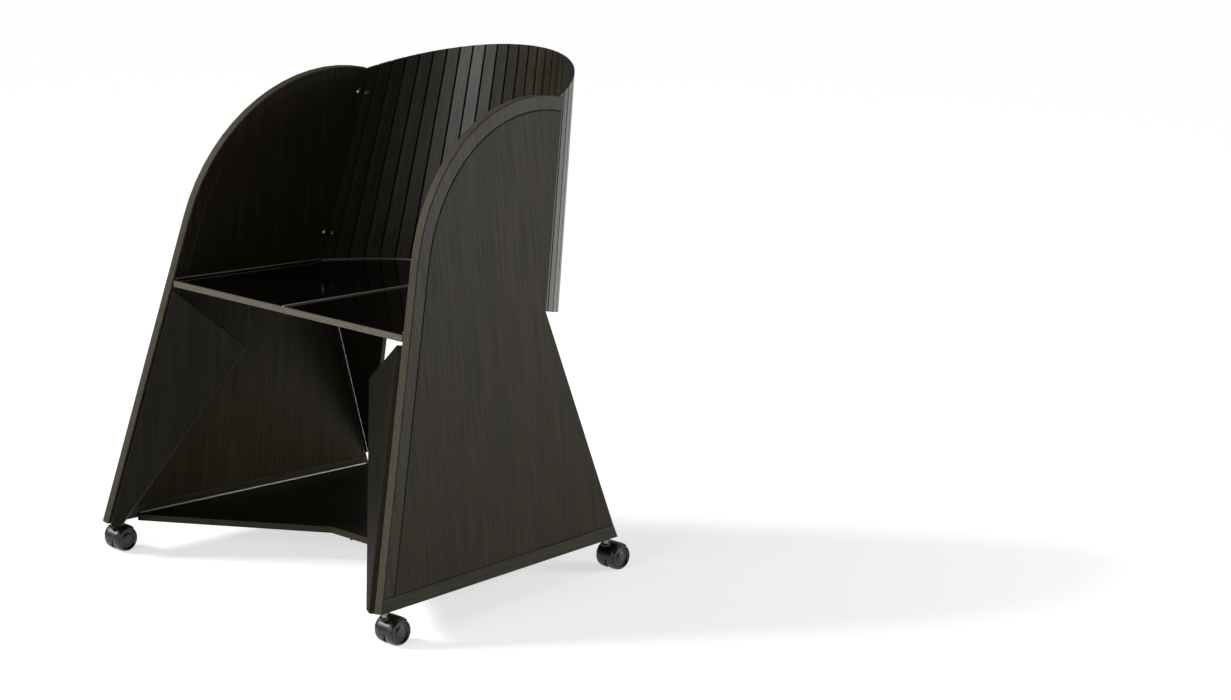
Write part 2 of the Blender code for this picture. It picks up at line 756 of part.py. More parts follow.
def hood_mesh():
    """Return the caster's hood with its fork web, boss and stem as one solid."""
    centre = Vector((0.0, CASTER_TRAIL, WHEEL_RADIUS))

    def along_axle(half):
        return centre - Vector((half, 0.0, 0.0)), centre + Vector((half, 0.0, 0.0))

    clear_radius = WHEEL_RADIUS + HOOD_PLAY
    body = moved(arc_shell("hood", clear_radius, HOOD_RADIUS, HOOD_HALF_WIDTH), Matrix.Translation(centre))
    boss_foot = Vector((0.0, 0.0, WHEEL_RADIUS + AXLE_RADIUS))
    boss_head = Vector((0.0, 0.0, WHEEL_RADIUS + HOOD_RADIUS - SEAM))
    boss = cylinder("boss", STEM_BOSS_RADIUS, boss_foot, boss_head)
    room = cylinder("room", clear_radius, *along_axle(HOOD_HALF_WIDTH + CUT_OVERRUN))
    boss = combine(boss, room, "DIFFERENCE")
    body = combine(body, boss, "UNION")
    span = HOOD_RADIUS + CUT_OVERRUN
    low_corner = centre + Vector((-span, -span, -span))
    web = ring("web", AXLE_RADIUS + RUNNING_PLAY, (clear_radius + HOOD_RADIUS) / 2, FORK_HALF_WIDTH)
    web = moved(web, Matrix.Translation(centre))
    keel = box("keel", low_corner, centre + Vector((span, span, -AXLE_RADIUS * 2)))
    web = combine(web, keel, "DIFFERENCE")
    body = combine(body, web, "UNION")
    collar_foot = boss_head - Vector((0.0, 0.0, HOOD_PLAY))
    underside = side_point(0.0, 0.0, -SIDE_THICKNESS / 2)[2]
    collar_head = Vector((0.0, 0.0, underside - STEM_COLLAR_RADIUS * math.tan(LEAN_IN) - SEAM))
    body = combine(body, cylinder("collar", STEM_COLLAR_RADIUS, collar_foot, collar_head), "UNION")
    stem_head = Vector((0.0, 0.0, FOOT_HEIGHT + STEM_LENGTH))
    return combine(body, cylinder("stem", STEM_RADIUS, collar_foot, stem_head), "UNION")


def caster_places():
    """Return the stems' places under the right rail, front first."""
    places = []
    for u in (FRONT_CASTER_U, REAR_CASTER_U):
        point = side_point(u, 0.0, -SIDE_THICKNESS / 2)
        places.append(np.array((point[0], point[1], 0.0)))
    return places


def rail_mesh():
    """Return the right foot rail with its two stem holes."""
    mesh = moved(board("rail", rail_outline(), -SIDE_THICKNESS, 0.0, EDGE_ROUND), side_matrix())
    for place in caster_places():
        foot = Vector(place) + Vector((0.0, 0.0, FOOT_HEIGHT - CUT_OVERRUN))
        head = Vector(place) + Vector((0.0, 0.0, FOOT_HEIGHT + STEM_LENGTH + SEAM))
        mesh = combine(mesh, cylinder("hole", STEM_RADIUS + RUNNING_PLAY, foot, head), "DIFFERENCE")
    return mesh


# Assembly

class Chair:
    """Builds both halves and joins them."""

    def __init__(self):
        self.wood = finish("stained_plywood", (0.055, 0.052, 0.042), 0.45)
        self.edge = finish("stained_edge", (0.16, 0.15, 0.14), 0.5)
        self.gloss = finish("lacquered_seat", (0.03, 0.03, 0.028), 0.2)
        self.slat = finish("stained_slats", (0.06, 0.058, 0.05), 0.4)
        self.steel = finish("hinge_steel", (0.45, 0.44, 0.42), 0.35, 1.0)
        self.rubber = finish("caster_plastic", (0.03, 0.03, 0.03), 0.5)
        self.root = add_empty("chair", None, (0.0, 0.0, 0.0), (0.0, 0.0, 1.0))

    def side_pieces(self, hand, body, flip):
        """Add one side's fixed pieces to its body's empty."""
        frame = side_matrix()
        core = moved(board("core", core_outline(), -SIDE_THICKNESS, 0.0, EDGE_ROUND), frame)
        lipping = moved(board("lipping", lipping_outline(), -SIDE_THICKNESS, 0.0, EDGE_ROUND), frame)
        add_piece(f"side_panel_{hand}", moved(core, flip), self.wood, body)
        add_piece(f"side_lipping_{hand}", moved(lipping, flip), self.edge, body)
        add_piece(f"foot_rail_{hand}", moved(rail_mesh(), flip), self.wood, body)

    def side_hinge(self, name, fold, start, stop, body, flip):
        """Add the hinge that carries a folding board along a side's inner face."""
        way = unit(np.cross(fold.line, SIDE_N))
        if way[2] > 0:
            way = -way
        first = fold.hinge_point(start + HINGE_END_SETBACK)
        last = fold.hinge_point(stop - HINGE_END_SETBACK)
        mesh = hinge_mesh(name, first, last, way, SIDE_N)
        add_piece(name, moved(mesh, flip), self.steel, body, HINGE_SHADE_ANGLE)

    def swung_board(self, hand, name, wing, body, flip, mirrored, follows):
        """Add a wing with its hinge, opened by its rest turn from the side's plane."""
        mesh, foot, head, rest_turn, leaf_way = wing
        axis = unit(head - foot)
        mesh = moved(mesh, turn_about(foot, axis, rest_turn))
        point = mirror_point(foot) if mirrored else foot
        closing = mirror_axis(-axis) if mirrored else -axis
        joint = add_joint(f"{name}_{hand}_swing", body, point, closing, rest_turn, follows)
        add_piece(f"{name}_{hand}", moved(mesh, flip), self.wood, joint)
        hinge = hinge_mesh(f"{name}_hinge_{hand}", foot, head, leaf_way, SIDE_N)
        add_piece(f"{name}_hinge_{hand}", moved(hinge, flip), self.steel, body, HINGE_SHADE_ANGLE)

    def slats(self, hand, body, flip, mirrored, follows):
        """Add one half of the back as a chain of joints, each with one slat or a few that hardly bend."""
        parent = body
        lines = BACK.shares()
        first = 0
        for count, turn in zip(SLATS_TOGETHER, BACK.group_turns()):
            point = BACK.bottom(lines[first])
            axis = unit(BACK.apex - point)
            if mirrored:
                point, axis = mirror_point(point), mirror_axis(axis)
            parent = add_joint(f"slat_{hand}_{first + 1:02d}_bend", parent, point, axis, turn, follows)
            for i in range(first, first + count):
                mesh = BACK.slat("slat", lines[i], lines[i + 1], i == SLATS_PER_SIDE - 1)
                add_piece(f"slat_{hand}_{i + 1:02d}", moved(mesh, flip), self.slat, parent)
            first += count

    def casters(self, hand, body, flip):
        """Add the two casters of one side."""
        hood, wheel = hood_mesh(), wheel_mesh()
        for place, where in zip(caster_places(), ("front", "rear")):
            stem = Matrix.Translation(Vector(place))
            tail = f"{where}_{hand}"
            pose = flip @ stem
            swivel = add_joint(f"caster_{tail}_swivel", body, flip @ Vector(place), (0.0, 0.0, 1.0))
            add_piece(f"caster_{tail}", moved(hood, pose), self.rubber, swivel, CASTER_SHADE_ANGLE)
            axle = pose @ Vector((0.0, CASTER_TRAIL, WHEEL_RADIUS))
            spin = add_joint(f"wheel_{tail}_spin", swivel, axle, (1.0, 0.0, 0.0))
            add_piece(f"wheel_{tail}", moved(wheel, pose), self.rubber, spin, CASTER_SHADE_ANGLE)

    def dress_side(self, hand, body, follows):
        """Add everything that one side carries, apart from the base."""
        mirrored = hand == "left"
        flip = MIRROR if mirrored else Matrix.Identity(4)
        self.side_pieces(hand, body, flip)
        self.side_hinge(f"base_hinge_{hand}", BASE, BASE_FRONT_AT_SIDE, BASE_REAR, body, flip)
        seat_back = seat_outline()[2][1]
        self.side_hinge(f"seat_hinge_{hand}", SEAT, SEAT_FRONT, seat_back, body, flip)
        mesh, foot, head = front_wing()
        across = unit(np.cross(SIDE_N, head - foot))
        back_way = across if across[1] > 0 else -across
        wing = (mesh, foot, head, WING_OPEN, back_way)
        self.swung_board(hand, "front_wing", wing, body, flip, mirrored, follows)
        mesh, foot, head = rear_wing()
        across = unit(np.cross(SIDE_N, head - foot))
        fore_way = across if across[1] < 0 else -across
        wing = (mesh, foot, head, REAR_WING_SWING, fore_way)
        self.swung_board(hand, "rear_wing", wing, body, flip, mirrored, follows)
        self.slats(hand, body, flip, mirrored, follows)
        self.casters(hand, body, flip)
        point, axis = SEAT.hinge_point(SEAT_FRONT), SEAT.line
        if mirrored:
            point, axis = mirror_point(point), mirror_axis(axis)
        seat = add_joint(f"seat_{hand}_fold", body, point, axis, SEAT.fold, follows)
        add_piece(f"seat_{hand}", moved(SEAT.slab("seat", seat_outline()), flip), self.gloss, seat)
        self.centre_leaf(f"seat_centre_hinge_{hand}", SEAT, SEAT_FRONT, seat_outline()[-1][1], seat, mirrored)

    def centre_leaf(self, name, fold, start, stop, body, mirrored):
        """Add one leaf of the hinge that joins a board's two halves from below."""
        first = fold.centre + fold.back * (start + HINGE_END_SETBACK)
        last = fold.centre + fold.back * (stop - HINGE_END_SETBACK)
        way = (-1.0, 0.0, 0.0) if mirrored else (1.0, 0.0, 0.0)
        mesh = hinge_mesh(name, first, last, way, fold.up, 1 if mirrored else 0)
        add_piece(name, mesh, self.steel, body, HINGE_SHADE_ANGLE)

    def build(self):
        """Build the chair from its left side across the base to its right side."""
        left = add_empty("side_left", self.root, (0.0, 0.0, 0.0), (0.0, 0.0, 1.0))
        main = "fold"
        self.dress_side("left", left, main)
        point = mirror_point(BASE.hinge_point(BASE_FRONT_AT_SIDE))
        base_left = add_joint(main, left, point, mirror_axis(BASE.line), BASE.fold)
        half = BASE.slab("base", base_outline())
        add_piece("base_left", moved(half, MIRROR), self.wood, base_left)
        self.centre_leaf("base_centre_hinge_left", BASE, BASE_FRONT_AT_CENTRE, BASE_REAR, base_left, True)
        centre = BASE.centre + BASE.back * BASE_FRONT_AT_CENTRE
        base_right = add_joint("base_centre_fold", base_left, centre, BASE.back, math.pi, main)
        add_piece("base_right", half, self.wood, base_right)
        self.centre_leaf("base_centre_hinge_right", BASE, BASE_FRONT_AT_CENTRE, BASE_REAR, base_right, False)
        point = BASE.hinge_point(BASE_FRONT_AT_SIDE)
        right = add_joint("side_right_fold", base_right, point, -BASE.line, BASE.fold, main)
        self.dress_side("right", right, main)

    def centre_on_origin(self):
        """Move the chair so that the origin is on the floor, midway along its depth."""
        bpy.context.view_layer.update()
        depths = []
        for item in bpy.data.objects:
            if item.type == "MESH":
                depths += [(item.matrix_world @ v.co).y for v in item.data.vertices]
        self.root.location.y -= (min(depths) + max(depths)) / 2
        bpy.context.view_layer.update()


def main():
    """Clear the scene and build the chair."""
    for item in list(bpy.data.objects):
        bpy.data.objects.remove(item)
    chair = Chair()
    chair.build()
    chair.centre_on_origin()


main()
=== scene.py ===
"""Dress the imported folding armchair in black-stained plywood, steel hinges and nylon casters."""

import json
import logging
import math
from dataclasses import dataclass, field
from enum import Enum

import bmesh
import bpy
import numpy as np
from mathutils import Matrix, Vector
from mathutils.bvhtree import BVHTree


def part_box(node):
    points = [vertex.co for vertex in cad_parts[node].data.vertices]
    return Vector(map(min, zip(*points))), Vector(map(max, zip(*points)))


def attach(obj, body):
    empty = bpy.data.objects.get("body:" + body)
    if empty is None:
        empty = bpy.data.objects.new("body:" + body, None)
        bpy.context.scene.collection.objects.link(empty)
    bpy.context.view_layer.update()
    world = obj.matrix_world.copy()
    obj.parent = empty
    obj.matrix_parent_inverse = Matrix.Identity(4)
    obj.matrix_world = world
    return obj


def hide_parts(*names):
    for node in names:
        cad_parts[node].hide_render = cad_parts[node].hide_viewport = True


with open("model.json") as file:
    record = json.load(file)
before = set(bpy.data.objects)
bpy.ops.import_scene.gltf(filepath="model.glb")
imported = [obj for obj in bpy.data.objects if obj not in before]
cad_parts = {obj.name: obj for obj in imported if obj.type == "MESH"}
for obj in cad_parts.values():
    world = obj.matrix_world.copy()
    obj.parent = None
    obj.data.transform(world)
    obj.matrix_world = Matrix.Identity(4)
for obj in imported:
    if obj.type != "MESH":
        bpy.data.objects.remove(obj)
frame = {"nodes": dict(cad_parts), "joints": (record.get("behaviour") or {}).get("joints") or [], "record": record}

logging.basicConfig(level=logging.INFO, format="%(message)s")
LOG = logging.getLogger("armchair")

HANDS = ("left", "right")
SLATS_PER_SIDE = 13
# A board's outer face looks away from the chair's middle, and a level board's upper face looks up.
OUTWARD = (1.0, 0.2, 0.0)
UPWARD = (0.0, 0.0, 0.05)

Socket = bpy.types.NodeSocket
Node = bpy.types.Node
NodeTree = bpy.types.NodeTree
Material = bpy.types.Material
Object = bpy.types.Object


def from_hex(code: str) -> tuple[float, float, float, float]:
    """Turn an sRGB hex colour into linear RGBA.

    Args:
        code: Six hex digits after a hash sign.

    Returns:
        Red, green, blue and alpha, linear.
    """
    parts = [int(code[i:i + 2], 16) / 255.0 for i in (1, 3, 5)]
    linear = [c / 12.92 if c <= 0.04045 else ((c + 0.055) / 1.055) ** 2.4 for c in parts]
    return (*linear, 1.0)


def add_node(tree: NodeTree, kind: str, inputs: dict | None = None, **settings: object) -> Node:
    """Add a node with its settings and inputs.

    Args:
        tree: The tree that the node goes into.
        kind: The node's type.
        inputs: Values or output sockets by the name or number of the input socket.
        settings: Properties of the node.

    Returns:
        The node.
    """
    node = tree.nodes.new(kind)
    for name, value in settings.items():
        setattr(node, name, value)
    for key, value in (inputs or {}).items():
        if isinstance(value, Socket):
            tree.links.new(value, node.inputs[key])
        else:
            node.inputs[key].default_value = value
    return node


def points_of(node: str) -> np.ndarray:
    """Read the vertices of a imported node.

    Args:
        node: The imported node.

    Returns:
        Its vertices in the row frame, one to a row.
    """
    mesh = frame["nodes"][node].data
    flat = np.empty(len(mesh.vertices) * 3)
    mesh.vertices.foreach_get("co", flat)
    return flat.reshape(-1, 3)


def carrying_body(node: str) -> str:
    """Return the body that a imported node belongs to."""
    bodies = frame["record"]["behaviour"]["bodies"]
    return next(body for body, nodes in bodies.items() if node in nodes)


def joint_named(name: str) -> dict:
    """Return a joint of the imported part."""
    return next(joint for joint in frame["joints"] if joint["name"] == name)


def unit(vector: np.ndarray) -> np.ndarray:
    """Return a vector at length one."""
    return np.asarray(vector, float) / np.linalg.norm(vector)


def put_in_scene(name: str, data: bpy.types.ID) -> Object:
    """Put a mesh, a light or a camera into the scene.

    Args:
        name: The new object's name.
        data: What the object holds.

    Returns:
        The object, at the origin.
    """
    item = bpy.data.objects.new(name, data)
    bpy.context.scene.collection.objects.link(item)
    return item


class Grain(Enum):
    """The way that a board's grain runs: a direction, or none for the board's own length."""

    LENGTHWAYS = None
    UPRIGHT = (0.0, 0.0, 1.0)
    FORE_AND_AFT = (0.0, 1.0, 0.0)


@dataclass(frozen=True)
class BoardAxes:
    """A board's own directions: across the grain, along it and through its thickness."""

    across: np.ndarray
    along: np.ndarray
    through: np.ndarray

    @classmethod
    def of(cls, node: str, grain: Grain) -> "BoardAxes":
        """Read a board's directions from its mesh.

        Args:
            node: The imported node.
            grain: The way that its grain runs.

        Returns:
            Its directions, with through towards the chair's outside or top.
        """
        mesh = frame["nodes"][node].data
        spread = np.zeros((3, 3))
        for face in mesh.polygons:
            normal = np.array(face.normal)
            spread += face.area * np.outer(normal, normal)
        through = np.linalg.eigh(spread)[1][:, 2]
        middle = points_of(node).mean(0)
        if through @ (middle * OUTWARD + UPWARD) < 0.0:
            through = -through
        if grain is Grain.LENGTHWAYS:
            away = points_of(node) - middle
            guide = np.linalg.eigh(away.T @ away)[1][:, 2]
        else:
            guide = np.array(grain.value)
        along = unit(guide - through * (guide @ through))
        return cls(np.cross(along, through), along, through)

    def euler(self) -> tuple[float, float, float]:
        """Return the turn that carries the row frame onto these directions."""
        return tuple(Matrix((self.across, self.along, self.through)).to_euler("XYZ"))


def new_finish(name: str) -> tuple[Material, NodeTree, Node]:
    """Start a material.

    Args:
        name: The material's name.

    Returns:
        The material, its tree and its shader.
    """
    material = bpy.data.materials.new(name)
    material.use_nodes = True
    tree = material.node_tree
    return material, tree, tree.nodes["Principled BSDF"]


@dataclass(frozen=True)
class StainedWood:
    """Birch plywood under a black stain: open grain shows brown-grey where the stain is thin.

    Lengths are in metres. Real pores are under 0.1 mm, so they are drawn about 2.4 mm apart to show at all.
    """

    name: str
    dark: str
    light: str
    edge_dark: str
    edge_light: str
    roughness: float
    grain_width: float = 0.0035
    grain_length: float = 0.16
    grain_detail: float = 5.0
    grain_fineness: float = 0.62
    grain_waver: float = 0.25
    grain_band: tuple[float, float] = (0.32, 0.68)
    cloud: float = 0.30
    cloud_growth: float = 9.0
    cloud_band: tuple[float, float] = (0.3, 0.7)
    speckle: float = 0.0
    pore_spacing: float = 1.0 / 420.0
    pore_fineness: float = 0.7
    pore_band: tuple[float, float] = (0.45, 0.7)
    ply: float = 0.0015
    ply_sharpness: float = 0.5
    ply_band: tuple[float, float] = (0.2, 0.8)
    edge_gain: float = 2.0
    face_from: float = 0.55
    face_to: float = 0.8
    bump: float = 0.12
    relief: float = 0.0006
    polish_spread: float = 0.15
    edge_roughness: float = 0.62
    specular: float = 0.5

    def material(self, label: str, axes: BoardAxes, tone: float = 1.0) -> Material:
        """Build the finish for one board.

        Args:
            label: The board's name, which the material's name ends in.
            axes: The board's directions.
            tone: How much of the light colour this board shows; on the slats this is a painted sheen, and it is one
                on every other board.

        Returns:
            The material.
        """
        material, tree, shader = new_finish(f"{self.name}_{label}")
        place = add_node(tree, "ShaderNodeTexCoord")
        local = add_node(tree, "ShaderNodeMapping", {"Vector": place.outputs["Object"], "Rotation": axes.euler()})
        fine = (1.0 / self.grain_width, 1.0 / self.grain_length, 1.0 / self.grain_width)
        broad = tuple(value / self.cloud_growth for value in fine)
        narrow = add_node(tree, "ShaderNodeVectorMath", {0: local.outputs[0], 1: fine}, operation="MULTIPLY")
        grain = add_node(tree, "ShaderNodeTexNoise",
                         {"Vector": narrow.outputs[0], "Scale": 1.0, "Detail": self.grain_detail,
                          "Roughness": self.grain_fineness, "Distortion": self.grain_waver})
        wide = add_node(tree, "ShaderNodeVectorMath", {0: local.outputs[0], 1: broad}, operation="MULTIPLY")
        cloud = add_node(tree, "ShaderNodeTexNoise", {"Vector": wide.outputs[0], "Scale": 1.0, "Detail": 2.0})
        pores = add_node(tree, "ShaderNodeTexNoise",
                         {"Vector": local.outputs[0], "Scale": 1.0 / self.pore_spacing, "Detail": 3.0,
                          "Roughness": self.pore_fineness})
        share = self.light_share(tree, grain.outputs["Fac"], cloud.outputs["Fac"], pores.outputs["Fac"], tone)
        face = add_node(tree, "ShaderNodeMix", {0: share, 6: from_hex(self.dark), 7: from_hex(self.light)},
                        data_type="RGBA")
        edge = self.edge_colour(tree, local.outputs[0], grain.outputs["Fac"])
        mask = self.face_mask(tree, place.outputs["Normal"], axes)
        colour = add_node(tree, "ShaderNodeMix", {0: mask, 6: edge, 7: face.outputs[2]}, data_type="RGBA")
        polish = add_node(tree, "ShaderNodeMapRange",
                          {"Value": grain.outputs["Fac"], "To Min": self.roughness * (1.0 + self.polish_spread),
                           "To Max": self.roughness * (1.0 - self.polish_spread)})
        rough = add_node(tree, "ShaderNodeMix", {0: mask, 2: self.edge_roughness, 3: polish.outputs[0]})
        height = add_node(tree, "ShaderNodeMath",
                          {0: grain.outputs["Fac"], 1: pores.outputs["Fac"]}, operation="ADD")
        bump = add_node(tree, "ShaderNodeBump",
                        {"Height": height.outputs[0], "Strength": self.bump, "Distance": self.relief})
        tree.links.new(colour.outputs[2], shader.inputs["Base Color"])
        tree.links.new(rough.outputs[0], shader.inputs["Roughness"])
        tree.links.new(bump.outputs[0], shader.inputs["Normal"])
        shader.inputs["Specular IOR Level"].default_value = self.specular
        return material

    def face_mask(self, tree: NodeTree, normal: Socket, axes: BoardAxes) -> Socket:
        """Tell the board's faces from its cut edges.

        Args:
            tree: The material's tree.
            normal: The surface's own direction.
            axes: The board's directions.

        Returns:
            One on a face and zero on an edge.
        """
        square = add_node(tree, "ShaderNodeVectorMath", {0: normal, 1: tuple(axes.through)}, operation="DOT_PRODUCT")
        flat = add_node(tree, "ShaderNodeMath", {0: square.outputs["Value"]}, operation="ABSOLUTE")
        mask = add_node(tree, "ShaderNodeMapRange",
                        {"Value": flat.outputs[0], "From Min": self.face_from, "From Max": self.face_to},
                        interpolation_type="SMOOTHSTEP")
        return mask.outputs[0]

    def light_share(self, tree: NodeTree, grain: Socket, cloud: Socket, pores: Socket, tone: float) -> Socket:
        """Work out how light each point of the face is.

        Args:
            tree: The material's tree.
            grain: Noise along the grain.
            cloud: Broad noise along the grain.
            pores: Fine noise.
            tone: How much of the light colour the board shows, a painted sheen on the slats.

        Returns:
            The share of the light tone.
        """
        lines = add_node(tree, "ShaderNodeMapRange",
                         {"Value": grain, "From Min": self.grain_band[0], "From Max": self.grain_band[1],
                          "To Max": tone})
        drift = add_node(tree, "ShaderNodeMapRange",
                         {"Value": cloud, "From Min": self.cloud_band[0], "From Max": self.cloud_band[1],
                          "To Min": 1.0 - self.cloud, "To Max": 1.0 + self.cloud})
        shade = add_node(tree, "ShaderNodeMath", {0: lines.outputs[0], 1: drift.outputs[0]}, operation="MULTIPLY")
        dots = add_node(tree, "ShaderNodeMapRange",
                        {"Value": pores, "From Min": self.pore_band[0], "From Max": self.pore_band[1],
                         "To Max": self.speckle})
        total = add_node(tree, "ShaderNodeMath", {0: shade.outputs[0], 1: dots.outputs[0]},
                         operation="ADD", use_clamp=True)
        return total.outputs[0]

    def edge_colour(self, tree: NodeTree, local: Socket, grain: Socket) -> Socket:
        """Colour the cut edge, with the plies as thin lines along it.

        Args:
            tree: The material's tree.
            local: The place on the board in the board's own directions.
            grain: Noise along the grain.

        Returns:
            The edge's colour.
        """
        depth = add_node(tree, "ShaderNodeSeparateXYZ", {0: local})
        turns = add_node(tree, "ShaderNodeMath", {0: depth.outputs["Z"], 1: math.pi / self.ply}, operation="MULTIPLY")
        wave = add_node(tree, "ShaderNodeMath", {0: turns.outputs[0]}, operation="SINE")
        ply = add_node(tree, "ShaderNodeMapRange",
                       {"Value": wave.outputs[0], "From Min": -self.ply_sharpness, "From Max": self.ply_sharpness,
                        "To Min": self.ply_band[0], "To Max": self.ply_band[1]})
        share = add_node(tree, "ShaderNodeMath", {0: ply.outputs[0], 1: grain}, operation="MULTIPLY")
        wide = add_node(tree, "ShaderNodeMath", {0: share.outputs[0], 1: self.edge_gain}, operation="MULTIPLY",
                        use_clamp=True)
        edge = add_node(tree, "ShaderNodeMix",
                        {0: wide.outputs[0], 6: from_hex(self.edge_dark), 7: from_hex(self.edge_light)},
                        data_type="RGBA")
        return edge.outputs[2]


@dataclass(frozen=True)
class BrushedSteel:
    """Brushed metal: fine lines spread its shine along the piece.

    Real brush lines are near 0.05 mm, so they are drawn up to 0.9 mm apart to show at all.
    """

    name: str
    colour: str
    roughness: float
    line: float = 0.0009
    roughness_spread: float = 0.08
    bump: float = 0.1
    relief: float = 0.0002

    def material(self) -> Material:
        """Build the finish.

        Returns:
            The material.
        """
        material, tree, shader = new_finish(self.name)
        shader.inputs["Base Color"].default_value = from_hex(self.colour)
        shader.inputs["Metallic"].default_value = 1.0
        place = add_node(tree, "ShaderNodeTexCoord")
        lines = add_node(tree, "ShaderNodeTexNoise",
                         {"Vector": place.outputs["Object"], "Scale": 1.0 / self.line, "Detail": 2.0})
        rough = add_node(tree, "ShaderNodeMapRange",
                         {"Value": lines.outputs["Fac"], "To Min": self.roughness - self.roughness_spread,
                          "To Max": self.roughness + self.roughness_spread})
        bump = add_node(tree, "ShaderNodeBump",
                        {"Height": lines.outputs["Fac"], "Strength": self.bump, "Distance": self.relief})
        tree.links.new(rough.outputs[0], shader.inputs["Roughness"])
        tree.links.new(bump.outputs[0], shader.inputs["Normal"])
        return material


@dataclass(frozen=True)
class MouldedNylon:
    """Moulded black nylon or rubber, or a hinge coloured black as painted shade: dense black-grey with a faint
    texture and a soft shine.

    A spark-eroded skin is near 0.05 mm, so it is drawn 0.8 mm coarse to show at all.
    """

    name: str
    colour: str
    worn: str
    roughness: float
    texture: float = 0.0008
    patch: float = 1.0 / 60.0
    patch_band: tuple[float, float] = (0.45, 0.75)
    smoother: float = 0.06
    rougher: float = 0.1
    bump: float = 0.15
    relief: float = 0.0002
    ior: float = 1.53

    def material(self) -> Material:
        """Build the finish.

        Returns:
            The material.
        """
        material, tree, shader = new_finish(self.name)
        shader.inputs["IOR"].default_value = self.ior
        place = add_node(tree, "ShaderNodeTexCoord")
        dust = add_node(tree, "ShaderNodeTexNoise",
                        {"Vector": place.outputs["Object"], "Scale": 1.0 / self.patch, "Detail": 4.0})
        skin = add_node(tree, "ShaderNodeTexNoise",
                        {"Vector": place.outputs["Object"], "Scale": 1.0 / self.texture, "Detail": 2.0})
        share = add_node(tree, "ShaderNodeMapRange",
                         {"Value": dust.outputs["Fac"], "From Min": self.patch_band[0],
                          "From Max": self.patch_band[1]})
        colour = add_node(tree, "ShaderNodeMix",
                          {0: share.outputs[0], 6: from_hex(self.colour), 7: from_hex(self.worn)}, data_type="RGBA")
        rough = add_node(tree, "ShaderNodeMapRange",
                         {"Value": dust.outputs["Fac"], "To Min": self.roughness - self.smoother,
                          "To Max": self.roughness + self.rougher})
        bump = add_node(tree, "ShaderNodeBump",
                        {"Height": skin.outputs["Fac"], "Strength": self.bump, "Distance": self.relief})
        tree.links.new(colour.outputs[2], shader.inputs["Base Color"])
        tree.links.new(rough.outputs[0], shader.inputs["Roughness"])
        tree.links.new(bump.outputs[0], shader.inputs["Normal"])
        return material


# Sanded birch face under black stain: a matt olive-black with upright grain.
PANEL_WOOD = StainedWood("stained_birch_face", "#231f14", "#353120", "#2a2719", "#4a4536", 0.50, specular=0.10)
# Solid birch lipping under the same stain: end grain and rounded corners take it lighter.
LIPPING_WOOD = StainedWood("stained_birch_lipping", "#1c1a11", "#3a3626", "#2f2b20", "#565042", 0.48, cloud=0.2,
                           specular=0.15)
# Thin plywood under the same stain, for the wings and the base: coloured darker than the other boards as painted
# shade, because they are turned from the light, so they are the darkest of the matt boards.
SHADED_WING_WOOD = StainedWood("stained_birch_wing_painted_shade", "#0d0c07", "#1c1a11", "#27241a", "#4c473a", 0.55, speckle=0.2,
                        specular=0.08)
# Lacquer rubbed to a polish over the stain: almost a black mirror, with bare plies at the front edge.
SEAT_LACQUER = StainedWood("lacquered_birch", "#030302", "#090806", "#2f2b21", "#7a7362", 0.09, edge_roughness=0.55,
                           bump=0.01, cloud=0.15, specular=0.5)
# Narrow slats with short open grain: each catches the light at its own angle and gets a painted sheen by its place in
# the back. Their cut edges, in the seams between slats, are coloured darker than the faces as painted shade.
SLAT_WOOD = StainedWood("stained_birch_slat", "#100e09", "#3a3628", "#0a0906", "#191711", 0.33,
                        grain_width=0.0022, grain_length=0.05, speckle=0.45, bump=0.25, cloud=0.45,
                        edge_roughness=0.8, specular=0.42)
# Bright zinc-plated steel, rolled: a thin light line along each hinge.
HINGE_STEEL = BrushedSteel("bright_hinge_steel", "#a39f97", 0.34)
# Satin anodised aluminium: a paler line than the hinges.
STRIP_METAL = BrushedSteel("satin_aluminium_strip", "#d8d4cc", 0.28)
# Burnished steel: small soft highlights on turned heads and stems.
BOLT_STEEL = BrushedSteel("burnished_bolt_steel", "#8f8b84", 0.30, 0.0005)
# Extruded black rubber: a dull line that hides the gap between two slats.
SEAM_RUBBER = MouldedNylon("black_seam_rubber", "#0b0b09", "#14130f", 0.70)
# Black on steel as painted shade: a hinge coloured black to read as the shadow along its joint.
SHADE_BLACK_HINGE = MouldedNylon("black_hinge_painted_shade", "#0b0b08", "#161510", 0.66)
# Injection-moulded nylon: black-grey with a soft highlight over the dome.
HOOD_NYLON = MouldedNylon("moulded_nylon_hood", "#171611", "#26251e", 0.34)
# The same nylon, a shade lighter where the tread is scuffed.
WHEEL_NYLON = MouldedNylon("moulded_nylon_wheel", "#191813", "#2a2922", 0.32)


def wear(node: str, material: Material) -> None:
    """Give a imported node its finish.

    Args:
        node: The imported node.
        material: Its finish.
    """
    materials = frame["nodes"][node].data.materials
    materials.clear()
    materials.append(material)
    LOG.info("finished %s with %s", node, material.name)


def plain_mesh(name: str, carrier: Object, tree: NodeTree, values: dict[str, float], body: str) -> None:
    """Run a Geometry Nodes tree and keep its result as a plain piece.

    Args:
        name: The piece's name.
        carrier: The object that the tree works on.
        tree: The tree.
        values: Its inputs by name.
        body: The body that the piece rides on.
    """
    step = carrier.modifiers.new("make", "NODES")
    step.node_group = tree
    for item in tree.interface.items_tree:
        if item.item_type == "SOCKET" and item.in_out == "INPUT" and item.name in values:
            step[item.identifier] = values[item.name]
    bpy.context.view_layer.update()
    graph = bpy.context.evaluated_depsgraph_get()
    mesh = bpy.data.meshes.new_from_object(carrier.evaluated_get(graph))
    mesh.name = name
    bpy.data.objects.remove(carrier)
    piece = put_in_scene(name, mesh)
    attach(piece, body)
    LOG.info("made %s on %s", name, body)


def carrier_of(name: str, points: list, edges: list) -> Object:
    """Make the mesh object that a Geometry Nodes tree starts from.

    Args:
        name: The object's name.
        points: Its vertices.
        edges: Pairs of vertices that an edge joins.

    Returns:
        The object.
    """
    mesh = bpy.data.meshes.new(name)
    mesh.from_pydata([tuple(point) for point in points], edges, [])
    return put_in_scene(name, mesh)


